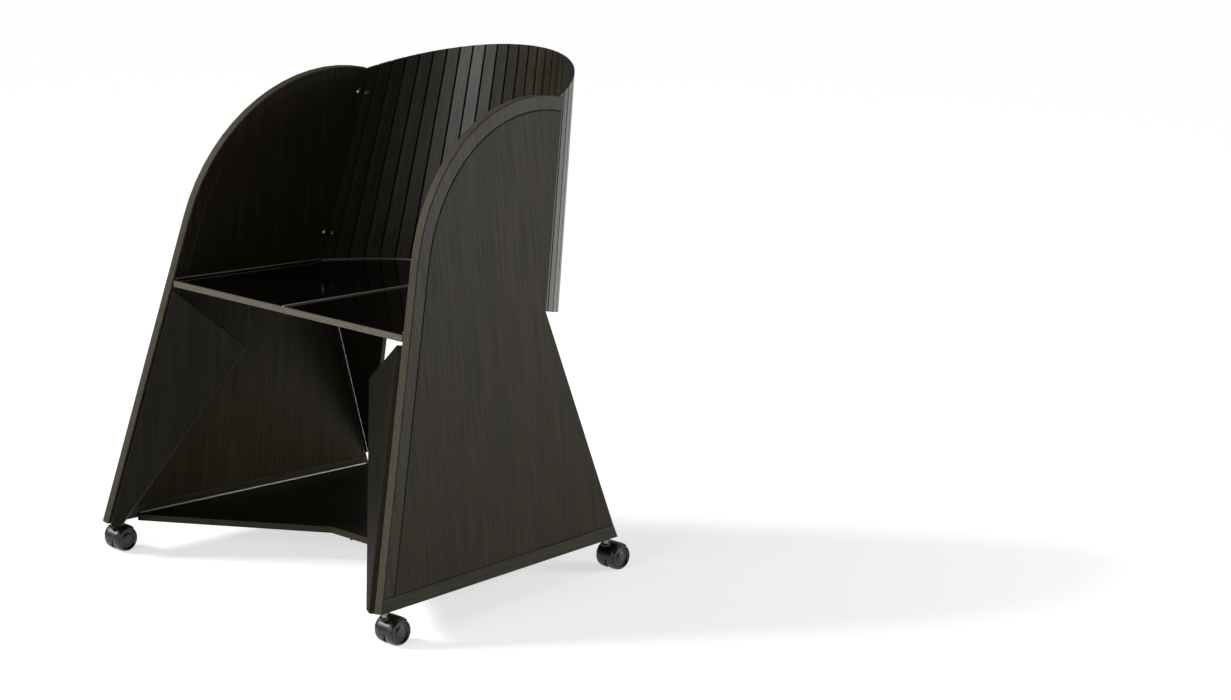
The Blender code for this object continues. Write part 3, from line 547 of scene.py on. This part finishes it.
def new_tree(name: str, sizes: dict[str, float]) -> tuple[NodeTree, Node, Node]:
    """Start a Geometry Nodes tree with named sizes.

    Args:
        name: The tree's name.
        sizes: Its inputs and their usual values.

    Returns:
        The tree, its input node and its output node.
    """
    tree = bpy.data.node_groups.new(name, "GeometryNodeTree")
    tree.interface.new_socket("Geometry", in_out="INPUT", socket_type="NodeSocketGeometry")
    for label, value in sizes.items():
        socket = tree.interface.new_socket(label, in_out="INPUT", socket_type="NodeSocketFloat")
        socket.default_value = value
    tree.interface.new_socket("Geometry", in_out="OUTPUT", socket_type="NodeSocketGeometry")
    return tree, add_node(tree, "NodeGroupInput"), add_node(tree, "NodeGroupOutput")


def close_tree(tree: NodeTree, shape: Socket, out: Node, material: Material) -> None:
    """End a tree in Realize Instances and Set Material.

    Args:
        tree: The tree.
        shape: The geometry that the tree has made.
        out: The tree's output node.
        material: The finish that the geometry gets.
    """
    real = add_node(tree, "GeometryNodeRealizeInstances", {0: shape})
    painted = add_node(tree, "GeometryNodeSetMaterial", {"Geometry": real.outputs[0], "Material": material})
    tree.links.new(painted.outputs[0], out.inputs[0])


def sweep_tree(name: str, sizes: dict[str, float], section: str, fit: dict[str, str | int],
               material: Material) -> NodeTree:
    """Build a tree that sweeps a section along the carrier's edges.

    Args:
        name: The tree's name.
        sizes: Its inputs and their usual values.
        section: The type of the node that draws the section.
        fit: The section's sockets, each with the name of a size or a plain number.
        material: The finish of what is swept.

    Returns:
        The tree.
    """
    tree, source, out = new_tree(name, sizes)
    curve = add_node(tree, "GeometryNodeMeshToCurve", {0: source.outputs["Geometry"]})
    profile = add_node(tree, section,
                       {key: source.outputs[size] if isinstance(size, str) else size for key, size in fit.items()})
    swept = add_node(tree, "GeometryNodeCurveToMesh",
                     {"Curve": curve.outputs[0], "Profile Curve": profile.outputs[0], "Fill Caps": True})
    close_tree(tree, swept.outputs[0], out, material)
    return tree


@dataclass
class Shape:
    """Vertices and faces of one piece, gathered part by part."""

    vertices: list = field(default_factory=list)
    faces: list = field(default_factory=list)
    shade_angle: float = math.radians(32.0)
    merge: float = 1e-6

    def join(self, rings: list[list[tuple]], closed: bool) -> None:
        """Add a part from rings of points, each joined to the next.

        Args:
            rings: Rings that all have the same number of points.
            closed: Whether the last ring joins the first, or the two end rings are capped.
        """
        first, count = len(self.vertices), len(rings[0])
        last = first + (len(rings) - 1) * count
        if not closed:
            self.faces += [tuple(first + i for i in range(count)), tuple(last + i for i in range(count))]
        for number in range(len(rings) if closed else len(rings) - 1):
            near, far = first + number * count, first + (number + 1) % len(rings) * count
            for i in range(count):
                j = (i + 1) % count
                self.faces.append((near + i, near + j, far + j, far + i))
        self.vertices += [point for ring in rings for point in ring]

    def lathe(self, profile: list, centre: Vector, upright: bool, steps: int) -> None:
        """Add a turned part.

        Args:
            profile: Places along the axis with their radii, closed on itself.
            centre: The point that the places are measured from.
            upright: Whether the axis is Z rather than X.
            steps: Segments around.
        """
        rings = []
        for step in range(steps):
            angle = math.tau * step / steps
            ring = []
            for place, radius in profile:
                across, rise = radius * math.cos(angle), radius * math.sin(angle)
                offset = Vector((across, rise, place)) if upright else Vector((place, across, rise))
                ring.append(tuple(centre + offset))
            rings.append(ring)
        self.join(rings, closed=True)

    def piece(self, name: str, material: Material, body: str, slot: str) -> Object:
        """Make the piece, with soft shading between shallow faces.

        Args:
            name: The piece's name.
            material: Its finish.
            body: The body that it rides on.
            slot: The record's material slot; not used.

        Returns:
            The piece.
        """
        mesh = bpy.data.meshes.new(name)
        mesh.from_pydata(self.vertices, [], self.faces)
        sheet = bmesh.new()
        sheet.from_mesh(mesh)
        bmesh.ops.remove_doubles(sheet, verts=sheet.verts, dist=self.merge)
        bmesh.ops.dissolve_degenerate(sheet, dist=self.merge, edges=sheet.edges)
        bmesh.ops.recalc_face_normals(sheet, faces=sheet.faces)
        sheet.to_mesh(mesh)
        sheet.free()
        mesh.shade_smooth()
        mesh.set_sharp_from_angle(angle=self.shade_angle)
        mesh.materials.append(material)
        piece = put_in_scene(name, mesh)
        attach(piece, body)
        LOG.info("made %s on %s", name, body)
        return piece


@dataclass
class SideBoards:
    """The arm panels with their lippings and foot rails."""

    hand: str

    def dress(self) -> None:
        """Finish the three boards of one side."""
        for board, label, finish, grain in (
            ("side_panel", "panel", PANEL_WOOD, Grain.UPRIGHT),
            ("side_lipping", "lipping", LIPPING_WOOD, Grain.UPRIGHT),
            ("foot_rail", "rail", LIPPING_WOOD, Grain.LENGTHWAYS),
        ):
            node = f"{board}_{self.hand}"
            wear(node, finish.material(f"{label}_{self.hand}", BoardAxes.of(node, grain)))


@dataclass
class FoldingBoards:
    """The seat and base leaves and the four wings, with a metal strip on the seat's rear edge."""

    hand: str
    strip_width: float = 0.0030
    strip_height: float = 0.0007
    top_depth: float = 0.0001
    end_margin: float = 0.004
    rim_reach: float = 0.02

    def dress(self) -> None:
        """Finish the boards of one side and add the seat's rear strip."""
        for board, finish, grain in (
            ("seat", SEAT_LACQUER, Grain.FORE_AND_AFT),
            ("base", SHADED_WING_WOOD, Grain.FORE_AND_AFT),
            ("front_wing", SHADED_WING_WOOD, Grain.UPRIGHT),
            ("rear_wing", SHADED_WING_WOOD, Grain.UPRIGHT),
        ):
            node = f"{board}_{self.hand}"
            wear(node, finish.material(node, BoardAxes.of(node, grain)))
        self.rear_strip(f"seat_{self.hand}")

    def rear_strip(self, seat: str) -> None:
        """Add the thin metal strip along the seat's curved rear edge.

        Args:
            seat: The seat leaf's node.
        """
        axes = BoardAxes.of(seat, Grain.FORE_AND_AFT)
        points = points_of(seat)
        height = points @ axes.through
        top = points[height > height.max() - self.top_depth]
        corner = top[np.abs(top[:, 0]).argmax()]
        inner = np.abs(top[:, 0]) < abs(corner[0]) - self.end_margin
        rim = top[(top @ axes.along > corner @ axes.along - self.rim_reach) & inner]
        rim = np.unique(np.round(rim, 6), axis=0)
        rim = rim[np.argsort(np.abs(rim[:, 0]))]
        shift = axes.through * self.strip_height * 0.5 - axes.along * self.strip_width * 0.5
        path = [point + shift for point in rim]
        sizes = {"Width": self.strip_width, "Height": self.strip_height}
        tree = sweep_tree("edge_strip", sizes, "GeometryNodeCurvePrimitiveQuadrilateral",
                          {"Width": "Height", "Height": "Width"}, STRIP_METAL.material())
        edges = [(i, i + 1) for i in range(len(path) - 1)]
        plain_mesh(f"seat_rear_strip_{self.hand}", carrier_of("strip_path", path, edges), tree, sizes, seat)


@dataclass
class SlattedBack:
    """The back's slats, the bands in their seams and the bolts on the hinge line."""

    hand: str
    band_radius: float = 0.00055
    band_sides: int = 8
    bolt_radius: float = 0.0052
    bolt_height: float = 0.0026
    bolt_sides: int = 24
    chamfer_share: float = 0.62
    socket_share: float = 0.34
    socket_rise: float = 0.0020
    bolt_setbacks: tuple[float, float] = (0.0110, 0.0092)
    bolt_shares: tuple[float, float] = (0.157, 0.880)
    line_top: float = 0.8264
    sitter_at: tuple[float, float] = (0.0, 0.1)
    probe_reach: float = 0.03
    # Painted sheen: each slat's share of the light colour, lighter on the middle slats that face the front light and
    # darker on the first slats beside the side panel.
    painted_sheen_tones: tuple[float, ...] = (0.35, 0.45, 0.6, 0.7, 0.75, 0.85, 1.0, 1.05, 0.95, 0.85, 0.8, 0.9, 0.85)

    def dress(self) -> None:
        """Finish the slats and add the bolts and the bands."""
        for number in range(1, SLATS_PER_SIDE + 1):
            name = f"slat_{self.hand}_{number:02d}"
            wear(name, SLAT_WOOD.material(name, BoardAxes.of(name, Grain.LENGTHWAYS), self.painted_sheen_tones[number - 1]))
        self.bolts()
        self.seam_bands()

    def seam_bands(self) -> None:
        """Add the flexible band that closes each seam, in the groove on the back's outer face."""
        seams_on = {}
        for number in range(1, SLATS_PER_SIDE):
            near, far = f"slat_{self.hand}_{number:02d}", f"slat_{self.hand}_{number + 1:02d}"
            ends = self.ridge(points_of(near), points_of(far))
            lift = BoardAxes.of(near, Grain.LENGTHWAYS).through * self.band_radius
            seams_on.setdefault(carrying_body(near), []).append([end + lift for end in ends])
        rubber = SEAM_RUBBER.material()
        sizes = {"Radius": self.band_radius}
        for body, seams in seams_on.items():
            tree = sweep_tree("seam_bands", sizes, "GeometryNodeCurvePrimitiveCircle",
                              {"Resolution": self.band_sides, "Radius": "Radius"}, rubber)
            points = [end for seam in seams for end in seam]
            edges = [(2 * i, 2 * i + 1) for i in range(len(seams))]
            plain_mesh(f"seam_bands_{body}", carrier_of("seams", points, edges), tree, sizes, body)

    def ridge(self, near: np.ndarray, far: np.ndarray) -> list[np.ndarray]:
        """Find the two ends of the ridge that two slats share.

        Args:
            near: One slat's vertices.
            far: The next slat's vertices.

        Returns:
            The midpoints of the closest vertices at the slats' two ends.
        """
        gaps = np.linalg.norm(near[:, None] - far[None], axis=2)
        ends = []
        middle = (near[:, 2].max() + near[:, 2].min()) / 2
        for part in (near[:, 2] < middle, near[:, 2] >= middle):
            i, j = np.unravel_index(np.where(part[:, None], gaps, np.inf).argmin(), gaps.shape)
            ends.append((near[i] + far[j]) / 2)
        return ends

    def bolts(self) -> None:
        """Add two bolts on the panel and two on the first slat, beside the hinge line."""
        slat, panel = f"slat_{self.hand}_01", f"side_panel_{self.hand}"
        joint = joint_named(f"{slat}_bend")
        foot, along = np.array(joint["pos_m"]), np.array(joint["axis"])
        along = along * math.copysign(1.0, along[2])
        head = foot + along * (self.line_top - foot[2]) / along[2]
        for body, node, setback in (
            (f"side_{self.hand}", panel, self.bolt_setbacks[0]),
            (slat, slat, self.bolt_setbacks[1]),
        ):
            middle = points_of(node).mean(0)
            inward = BoardAxes.of(node, Grain.UPRIGHT).through
            seats = []
            for share in self.bolt_shares:
                on_line = foot + (head - foot) * share
                sitter = np.array((*self.sitter_at, on_line[2]))
                inward = inward * math.copysign(1.0, (sitter - on_line) @ inward)
                way = np.cross(along, inward)
                way = unit(way * math.copysign(1.0, (middle - on_line) @ way))
                seats.append(self.landing(node, on_line + way * setback, inward))
            self.bolt_pair(body, seats, inward)

    def landing(self, node: str, point: np.ndarray, inward: np.ndarray) -> np.ndarray:
        """Find the point on a board's inner face beside a point.

        Args:
            node: The board's node.
            point: A point near the face.
            inward: The way that the face looks.

        Returns:
            The point on the face.
        """
        mesh = frame["nodes"][node].data
        tree = BVHTree.FromPolygons([v.co for v in mesh.vertices], [p.vertices for p in mesh.polygons])
        return np.array(tree.ray_cast(Vector(point + inward * self.probe_reach), Vector(-inward))[0])

    def bolt_pair(self, body: str, seats: list[np.ndarray], outward: np.ndarray) -> None:
        """Add button-head bolts with a six-sided socket.

        Args:
            body: The body that carries them.
            seats: The point on the board under each bolt.
            outward: The way that the heads look.
        """
        sizes = {"Radius": self.bolt_radius, "Height": self.bolt_height}
        tree, source, out = new_tree("button_bolts", sizes)
        rim = add_node(tree, "ShaderNodeMath", {0: source.outputs["Radius"], 1: self.chamfer_share},
                       operation="MULTIPLY")
        head = add_node(tree, "GeometryNodeMeshCone",
                        {"Vertices": self.bolt_sides, "Radius Top": rim.outputs[0],
                         "Radius Bottom": source.outputs["Radius"], "Depth": source.outputs["Height"]})
        wrench = add_node(tree, "ShaderNodeMath", {0: source.outputs["Radius"], 1: self.socket_share},
                          operation="MULTIPLY")
        socket = add_node(tree, "GeometryNodeMeshCylinder",
                          {"Vertices": 6, "Radius": wrench.outputs[0], "Depth": source.outputs["Height"]})
        lifted = add_node(tree, "GeometryNodeTransform",
                          {"Geometry": socket.outputs["Mesh"], "Translation": (0.0, 0.0, self.socket_rise)})
        cut = add_node(tree, "GeometryNodeMeshBoolean",
                       {"Mesh 1": head.outputs["Mesh"], "Mesh 2": lifted.outputs[0]}, operation="DIFFERENCE")
        turn = Vector(outward).to_track_quat("Z", "Y").to_euler()
        copies = add_node(tree, "GeometryNodeInstanceOnPoints",
                          {"Points": source.outputs["Geometry"], "Instance": cut.outputs["Mesh"],
                           "Rotation": tuple(turn)})
        close_tree(tree, copies.outputs[0], out, BOLT_STEEL.material())
        plain_mesh(f"bolts_{body}", carrier_of("bolt_seats", seats, []), tree, sizes, body)


@dataclass
class Hinges:
    """The piano hinges, with the rear hinges' second leaf on the wings."""

    hand: str
    bright: tuple[str, ...] = ("seat_hinge", "base_hinge", "front_wing_hinge")
    # These hinges are coloured black as painted shade along their joints; the bright ones keep their steel.
    dark: tuple[str, ...] = ("rear_wing_hinge", "seat_centre_hinge", "base_centre_hinge")
    leaf: float = 0.0010
    leaf_width: float = 0.0045
    knuckle_reach: float = 0.0022

    def dress(self) -> None:
        """Finish the hinges of one side and add the rear hinge's second leaf."""
        for kinds, finish in ((self.bright, HINGE_STEEL), (self.dark, SHADE_BLACK_HINGE)):
            steel = finish.material()
            for kind in kinds:
                wear(f"{kind}_{self.hand}", steel)
        self.rear_wing_leaf()

    def rear_wing_leaf(self) -> None:
        """Add the rear hinge's second leaf, on the wing's face beside the knuckles."""
        wing = f"rear_wing_{self.hand}"
        joint = joint_named(f"{wing}_swing")
        pin, along = np.array(joint["pos_m"]), unit(joint["axis"])
        board, hinge = points_of(wing) - pin, points_of(f"rear_wing_hinge_{self.hand}") - pin
        normal = BoardAxes.of(wing, Grain.UPRIGHT).through
        normal = normal * -math.copysign(1.0, board.mean(0) @ normal)
        way = np.cross(along, normal)
        way = way * math.copysign(1.0, board.mean(0) @ way)
        face = (board @ normal).max()
        level = min(abs(face + self.leaf), self.knuckle_reach)
        near = math.sqrt(self.knuckle_reach ** 2 - level ** 2)
        far = near + self.leaf_width
        section = [(near, face), (far, face), (far, face + self.leaf), (near, face + self.leaf)]
        ends = ((hinge @ along).min(), (hinge @ along).max())
        shape = Shape()
        shape.join([[tuple(pin + along * end + way * across + normal * rise) for across, rise in section]
                    for end in ends], closed=False)
        # The second leaf is coloured black as painted shade, like its hinge.
        shape.piece(f"rear_wing_leaf_{self.hand}", SHADE_BLACK_HINGE.material(), wing, "hinge_steel")


@dataclass
class Casters:
    """The four swivel casters: turned twin wheels under a domed hood on a bright stem.

    A profile's pairs are a place along the axis and a radius. The wheel's are shares of half_width and
    tyre_radius, from the gap between the wheels outwards; the hood's are metres from its middle.
    """

    hand: str
    places: tuple[str, str] = ("front", "rear")
    steps: int = 64
    tyre_radius: float = 0.0230
    half_width: float = 0.0215
    wheel_profile: tuple[tuple[float, float], ...] = (
        (0.95, 0.0), (0.95, 0.36), (0.92, 0.42), (0.84, 0.47), (0.82, 0.52), (0.83, 0.70), (0.90, 0.76),
        (0.98, 0.79), (1.0, 0.82), (0.99, 0.86), (0.94, 0.875), (0.94, 0.90), (0.90, 0.93), (0.80, 0.965),
        (0.66, 0.99), (0.50, 1.0), (0.30, 1.0), (0.22, 0.985))
    slot_half: float = 0.0040
    slot_share: float = 0.95
    axle_radius: float = 0.0045
    axle_gap: float = 0.0002
    web_half: float = 0.0030
    web_radius: float = 0.0240
    web_floor: float = 0.0090
    hood_rim: tuple[tuple[float, float], ...] = (
        (0.0, 0.0250), (0.0080, 0.0250), (0.0130, 0.0248), (0.0165, 0.0242), (0.0188, 0.0232), (0.0192, 0.0226))
    hood_lining: tuple[tuple[float, float], ...] = (
        (0.0184, 0.0227), (0.0160, 0.0234), (0.0125, 0.0237), (0.0, 0.0237))
    hood_radius: float = 0.0250
    hood_start: float = math.radians(34.0)
    hood_stop: float = math.radians(186.0)
    hood_taper: float = math.radians(26.0)
    hood_end_share: float = 0.25
    boss_radius: float = 0.0085
    boss_root: float = 0.0025
    boss_chamfer: tuple[float, float] = (0.0010, 0.0012)
    stem_radius: float = 0.0038
    stem_start: float = 0.0248
    stem_length: float = 0.0085
    sleeve_wall: float = 0.0008
    collar_radius: float = 0.0062
    collar_drops: tuple[float, float, float] = (0.0022, 0.0018, 0.0012)
    collar_chamfer: float = 0.0004
    rail_gap: float = 0.0004

    def dress(self) -> None:
        """Replace the casters of one side with finer ones."""
        hood, wheel, steel = HOOD_NYLON.material(), WHEEL_NYLON.material(), BOLT_STEEL.material()
        for place in self.places:
            name = f"{place}_{self.hand}"
            stem, axle = self.centre(f"caster_{name}_swivel"), self.centre(f"wheel_{name}_spin")
            wheels = self.wheels(axle).piece(f"turned_wheels_{name}", wheel, f"wheel_{name}", "wheel_plastic")
            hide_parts(f"wheel_{name}")
            body = f"caster_{name}"
            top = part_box(body)[1][2]
            domed = self.hood(stem, axle).piece(f"domed_hood_{name}", hood, body, "caster_plastic")
            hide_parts(body)
            self.stem(stem, axle, top).piece(f"steel_stem_{name}", steel, body, "hinge_steel")

    def centre(self, joint: str) -> Vector:
        """Return a joint's place."""
        return Vector(joint_named(joint)["pos_m"])

    def wheels(self, axle: Vector) -> Shape:
        """Turn the twin wheels: a raised hub in a shallow dish, a rim and a rounded tread.

        Args:
            axle: The wheels' centre.

        Returns:
            The shape of both wheels.
        """
        half = [(self.half_width * across, self.tyre_radius * radius) for across, radius in self.wheel_profile]
        half += [(self.slot_half, self.tyre_radius * self.slot_share), (self.slot_half, self.axle_radius)]
        shape = Shape()
        shape.lathe(half + [(-across, radius) for across, radius in reversed(half)], axle, False, self.steps)
        return shape

    def hood(self, stem: Vector, axle: Vector) -> Shape:
        """Form the domed hood, the web between the wheels and the boss under the stem.

        Args:
            stem: A point on the stem's axis.
            axle: The wheels' centre.

        Returns:
            The hood's shape.
        """
        right = self.hood_rim + self.hood_lining
        section = right + tuple((-across, radius) for across, radius in reversed(right[1:-1]))
        rings = []
        for step in range(self.steps + 1):
            angle = self.hood_start + (self.hood_stop - self.hood_start) * step / self.steps
            near = min(angle - self.hood_start, self.hood_stop - angle) / self.hood_taper
            bulge = math.sqrt(max(0.0, 1.0 - (1.0 - min(near, 1.0)) ** 2))
            spread = self.hood_end_share + (1.0 - self.hood_end_share) * bulge
            rings.append([
                tuple(axle + Vector((across * spread, radius * math.cos(angle), radius * math.sin(angle))))
                for across, radius in section])
        shape = Shape()
        shape.join(rings, closed=False)
        self.web(shape, axle)
        low, high = axle.z + self.web_radius - self.boss_root, axle.z + self.hood_radius
        down, in_by = self.boss_chamfer
        boss = [(low, 0.0), (low, self.boss_radius), (high - down, self.boss_radius),
                (high, self.boss_radius - in_by), (high, 0.0)]
        shape.lathe(boss, Vector((stem.x, stem.y, 0.0)), True, self.steps)
        return shape

    def web(self, shape: Shape, axle: Vector) -> None:
        """Add the plate between the wheels, round above and cut off flat below.

        Args:
            shape: The hood's shape, which the plate joins.
            axle: The wheels' centre.
        """
        bore = self.axle_radius + self.axle_gap
        rings = []
        for step in range(self.steps):
            angle = math.tau * step / self.steps
            drop = max(1e-6, -math.sin(angle))
            reach = min(self.web_radius, self.web_floor / drop)
            section = ((-self.web_half, bore), (-self.web_half, reach), (self.web_half, reach),
                       (self.web_half, bore))
            rings.append([tuple(axle + Vector((across, radius * math.cos(angle), radius * math.sin(angle))))
                          for across, radius in section])
        shape.join(rings, closed=True)

    def stem(self, stem: Vector, axle: Vector, top: float) -> Shape:
        """Turn the bright stem with its collar, up into the foot rail.

        Args:
            stem: A point on the stem's axis.
            axle: The wheels' centre.
            top: The height at which the stem ends inside the rail.

        Returns:
            The stem's shape.
        """
        foot = axle.z + self.stem_start
        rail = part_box(f"foot_rail_{self.hand}")[0][2] - self.rail_gap
        head = min(rail, foot + self.stem_length)
        sleeve = self.stem_radius + self.sleeve_wall
        neck, shoulder, crown = (head - drop for drop in self.collar_drops)
        profile = [(foot, 0.0), (foot, sleeve), (neck, sleeve),
                   (shoulder, self.collar_radius - self.collar_chamfer), (crown, self.collar_radius),
                   (head, self.collar_radius), (head, self.stem_radius), (top, self.stem_radius), (top, 0.0)]
        shape = Shape()
        shape.lathe(profile, Vector((stem.x, stem.y, 0.0)), True, self.steps)
        return shape


@dataclass(frozen=True)
class SoftLamp:
    """An area lamp: where it hangs, the point it faces, its width and height, and its power in watts."""

    name: str
    place: tuple[float, float, float]
    aim: tuple[float, float, float]
    size: tuple[float, float]
    power: float

    def hang(self) -> None:
        """Add the lamp to the scene."""
        light = bpy.data.lights.new(self.name, "AREA")
        light.shape = "RECTANGLE"
        light.size, light.size_y = self.size
        light.energy = self.power
        item = put_in_scene(self.name, light)
        item.location = self.place
        item.rotation_euler = (Vector(self.aim) - Vector(self.place)).to_track_quat("-Z", "Y").to_euler()


@dataclass
class Studio:
    """The pale floor, the soft lights and the camera."""

    floor_half: float = 20.0
    floor_colour: str = "#d6d6d6"
    floor_glow: float = 0.65
    camera_at: tuple[float, float, float] = (3.6988, -3.4908, 1.5761)
    pitch: float = math.radians(13.11)
    yaw: float = math.radians(47.19)
    focal_length: float = 87.92
    sensor: float = 36.0
    shift: tuple[float, float] = (0.2076, -0.0081)
    sight: float = 60.0
    key_from: tuple[float, float, float] = (-0.62, -0.53, 0.58)
    key_angle: float = math.radians(16.0)
    key_strength: float = 2.5
    lamps: tuple[SoftLamp, ...] = (
        SoftLamp("front_softbox", (0.45, -3.4, 1.45), (0.0, 0.3, 0.85), (1.5, 1.2), 38.0),
        SoftLamp("rear_fill", (2.6, 2.3, 1.0), (0.3, 0.1, 0.6), (1.5, 1.2), 58.0),
    )
    ambient: float = 0.04
    far_white: float = 0.30
    sweep_band: tuple[float, float] = (-0.1, 0.6)

    def build(self) -> None:
        """Build the studio."""
        self.floor()
        self.world()
        self.key()
        for lamp in self.lamps:
            lamp.hang()
        self.camera()
        bpy.context.scene.view_settings.view_transform = "Standard"

    def floor(self) -> None:
        """Add the floor, white to the camera where nothing shades it."""
        shape = bmesh.new()
        bmesh.ops.create_grid(shape, x_segments=1, y_segments=1, size=self.floor_half)
        mesh = bpy.data.meshes.new("floor")
        shape.to_mesh(mesh)
        shape.free()
        floor = put_in_scene("floor", mesh)
        material, tree, _ = new_finish("pale_floor")
        tree.nodes.clear()
        paint = add_node(tree, "ShaderNodeBsdfDiffuse", {"Color": from_hex(self.floor_colour)})
        glow = add_node(tree, "ShaderNodeEmission", {"Color": (1.0, 1.0, 1.0, 1.0), "Strength": self.floor_glow})
        both = add_node(tree, "ShaderNodeAddShader", {0: paint.outputs[0], 1: glow.outputs[0]})
        path = add_node(tree, "ShaderNodeLightPath")
        seen = add_node(tree, "ShaderNodeMath",
                        {0: path.outputs["Is Camera Ray"], 1: path.outputs["Is Glossy Ray"]}, operation="MAXIMUM")
        chosen = add_node(tree, "ShaderNodeMixShader",
                          {0: seen.outputs[0], 1: paint.outputs[0], 2: both.outputs[0]})
        add_node(tree, "ShaderNodeOutputMaterial", {"Surface": chosen.outputs[0]})
        mesh.materials.append(material)

    def key(self) -> None:
        """Add the key light, a broad sun high on the left in front."""
        light = bpy.data.lights.new("key", "SUN")
        light.angle = self.key_angle
        light.energy = self.key_strength
        put_in_scene("key", light).rotation_euler = (-Vector(self.key_from)).to_track_quat("-Z", "Y").to_euler()

    def world(self) -> None:
        """Set a faint sky, white to the camera, that gloss sees as a pale sweep behind the chair."""
        world = bpy.data.worlds.new("studio")
        world.use_nodes = True
        bpy.context.scene.world = world
        tree = world.node_tree
        tree.nodes.clear()
        path = add_node(tree, "ShaderNodeLightPath")
        seen = add_node(tree, "ShaderNodeMath",
                        {0: path.outputs["Is Camera Ray"], 1: path.outputs["Is Transmission Ray"]},
                        operation="MAXIMUM")
        place = add_node(tree, "ShaderNodeTexCoord")
        way = add_node(tree, "ShaderNodeSeparateXYZ", {0: place.outputs["Generated"]})
        sweep = add_node(tree, "ShaderNodeMapRange",
                         {"Value": way.outputs["Y"], "From Min": self.sweep_band[0], "From Max": self.sweep_band[1],
                          "To Min": self.ambient, "To Max": self.far_white}, interpolation_type="SMOOTHSTEP")
        gloss = add_node(tree, "ShaderNodeMath", {0: path.outputs["Is Glossy Ray"], 1: sweep.outputs[0]},
                         operation="MULTIPLY")
        most = add_node(tree, "ShaderNodeMath", {0: gloss.outputs[0], 1: self.ambient}, operation="MAXIMUM")
        strength = add_node(tree, "ShaderNodeMath", {0: seen.outputs[0], 1: most.outputs[0]}, operation="MAXIMUM")
        sky = add_node(tree, "ShaderNodeBackground", {"Color": (1.0, 1.0, 1.0, 1.0), "Strength": strength.outputs[0]})
        add_node(tree, "ShaderNodeOutputWorld", {"Surface": sky.outputs[0]})

    def camera(self) -> None:
        """Add the camera at the photograph's angle."""
        lens = bpy.data.cameras.new("camera")
        lens.sensor_width = self.sensor
        lens.lens = self.focal_length
        lens.shift_x, lens.shift_y = self.shift
        lens.clip_end = self.sight
        item = put_in_scene("camera", lens)
        item.location = self.camera_at
        item.rotation_euler = (math.pi / 2 - self.pitch, 0.0, self.yaw)
        bpy.context.scene.camera = item


def main() -> None:
    """Dress the chair and set up the studio."""
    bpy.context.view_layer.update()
    for hand in HANDS:
        for part in (SideBoards(hand), FoldingBoards(hand), SlattedBack(hand), Hinges(hand), Casters(hand)):
            part.dress()
    Studio().build()


if __name__ == "__main__":
    main()
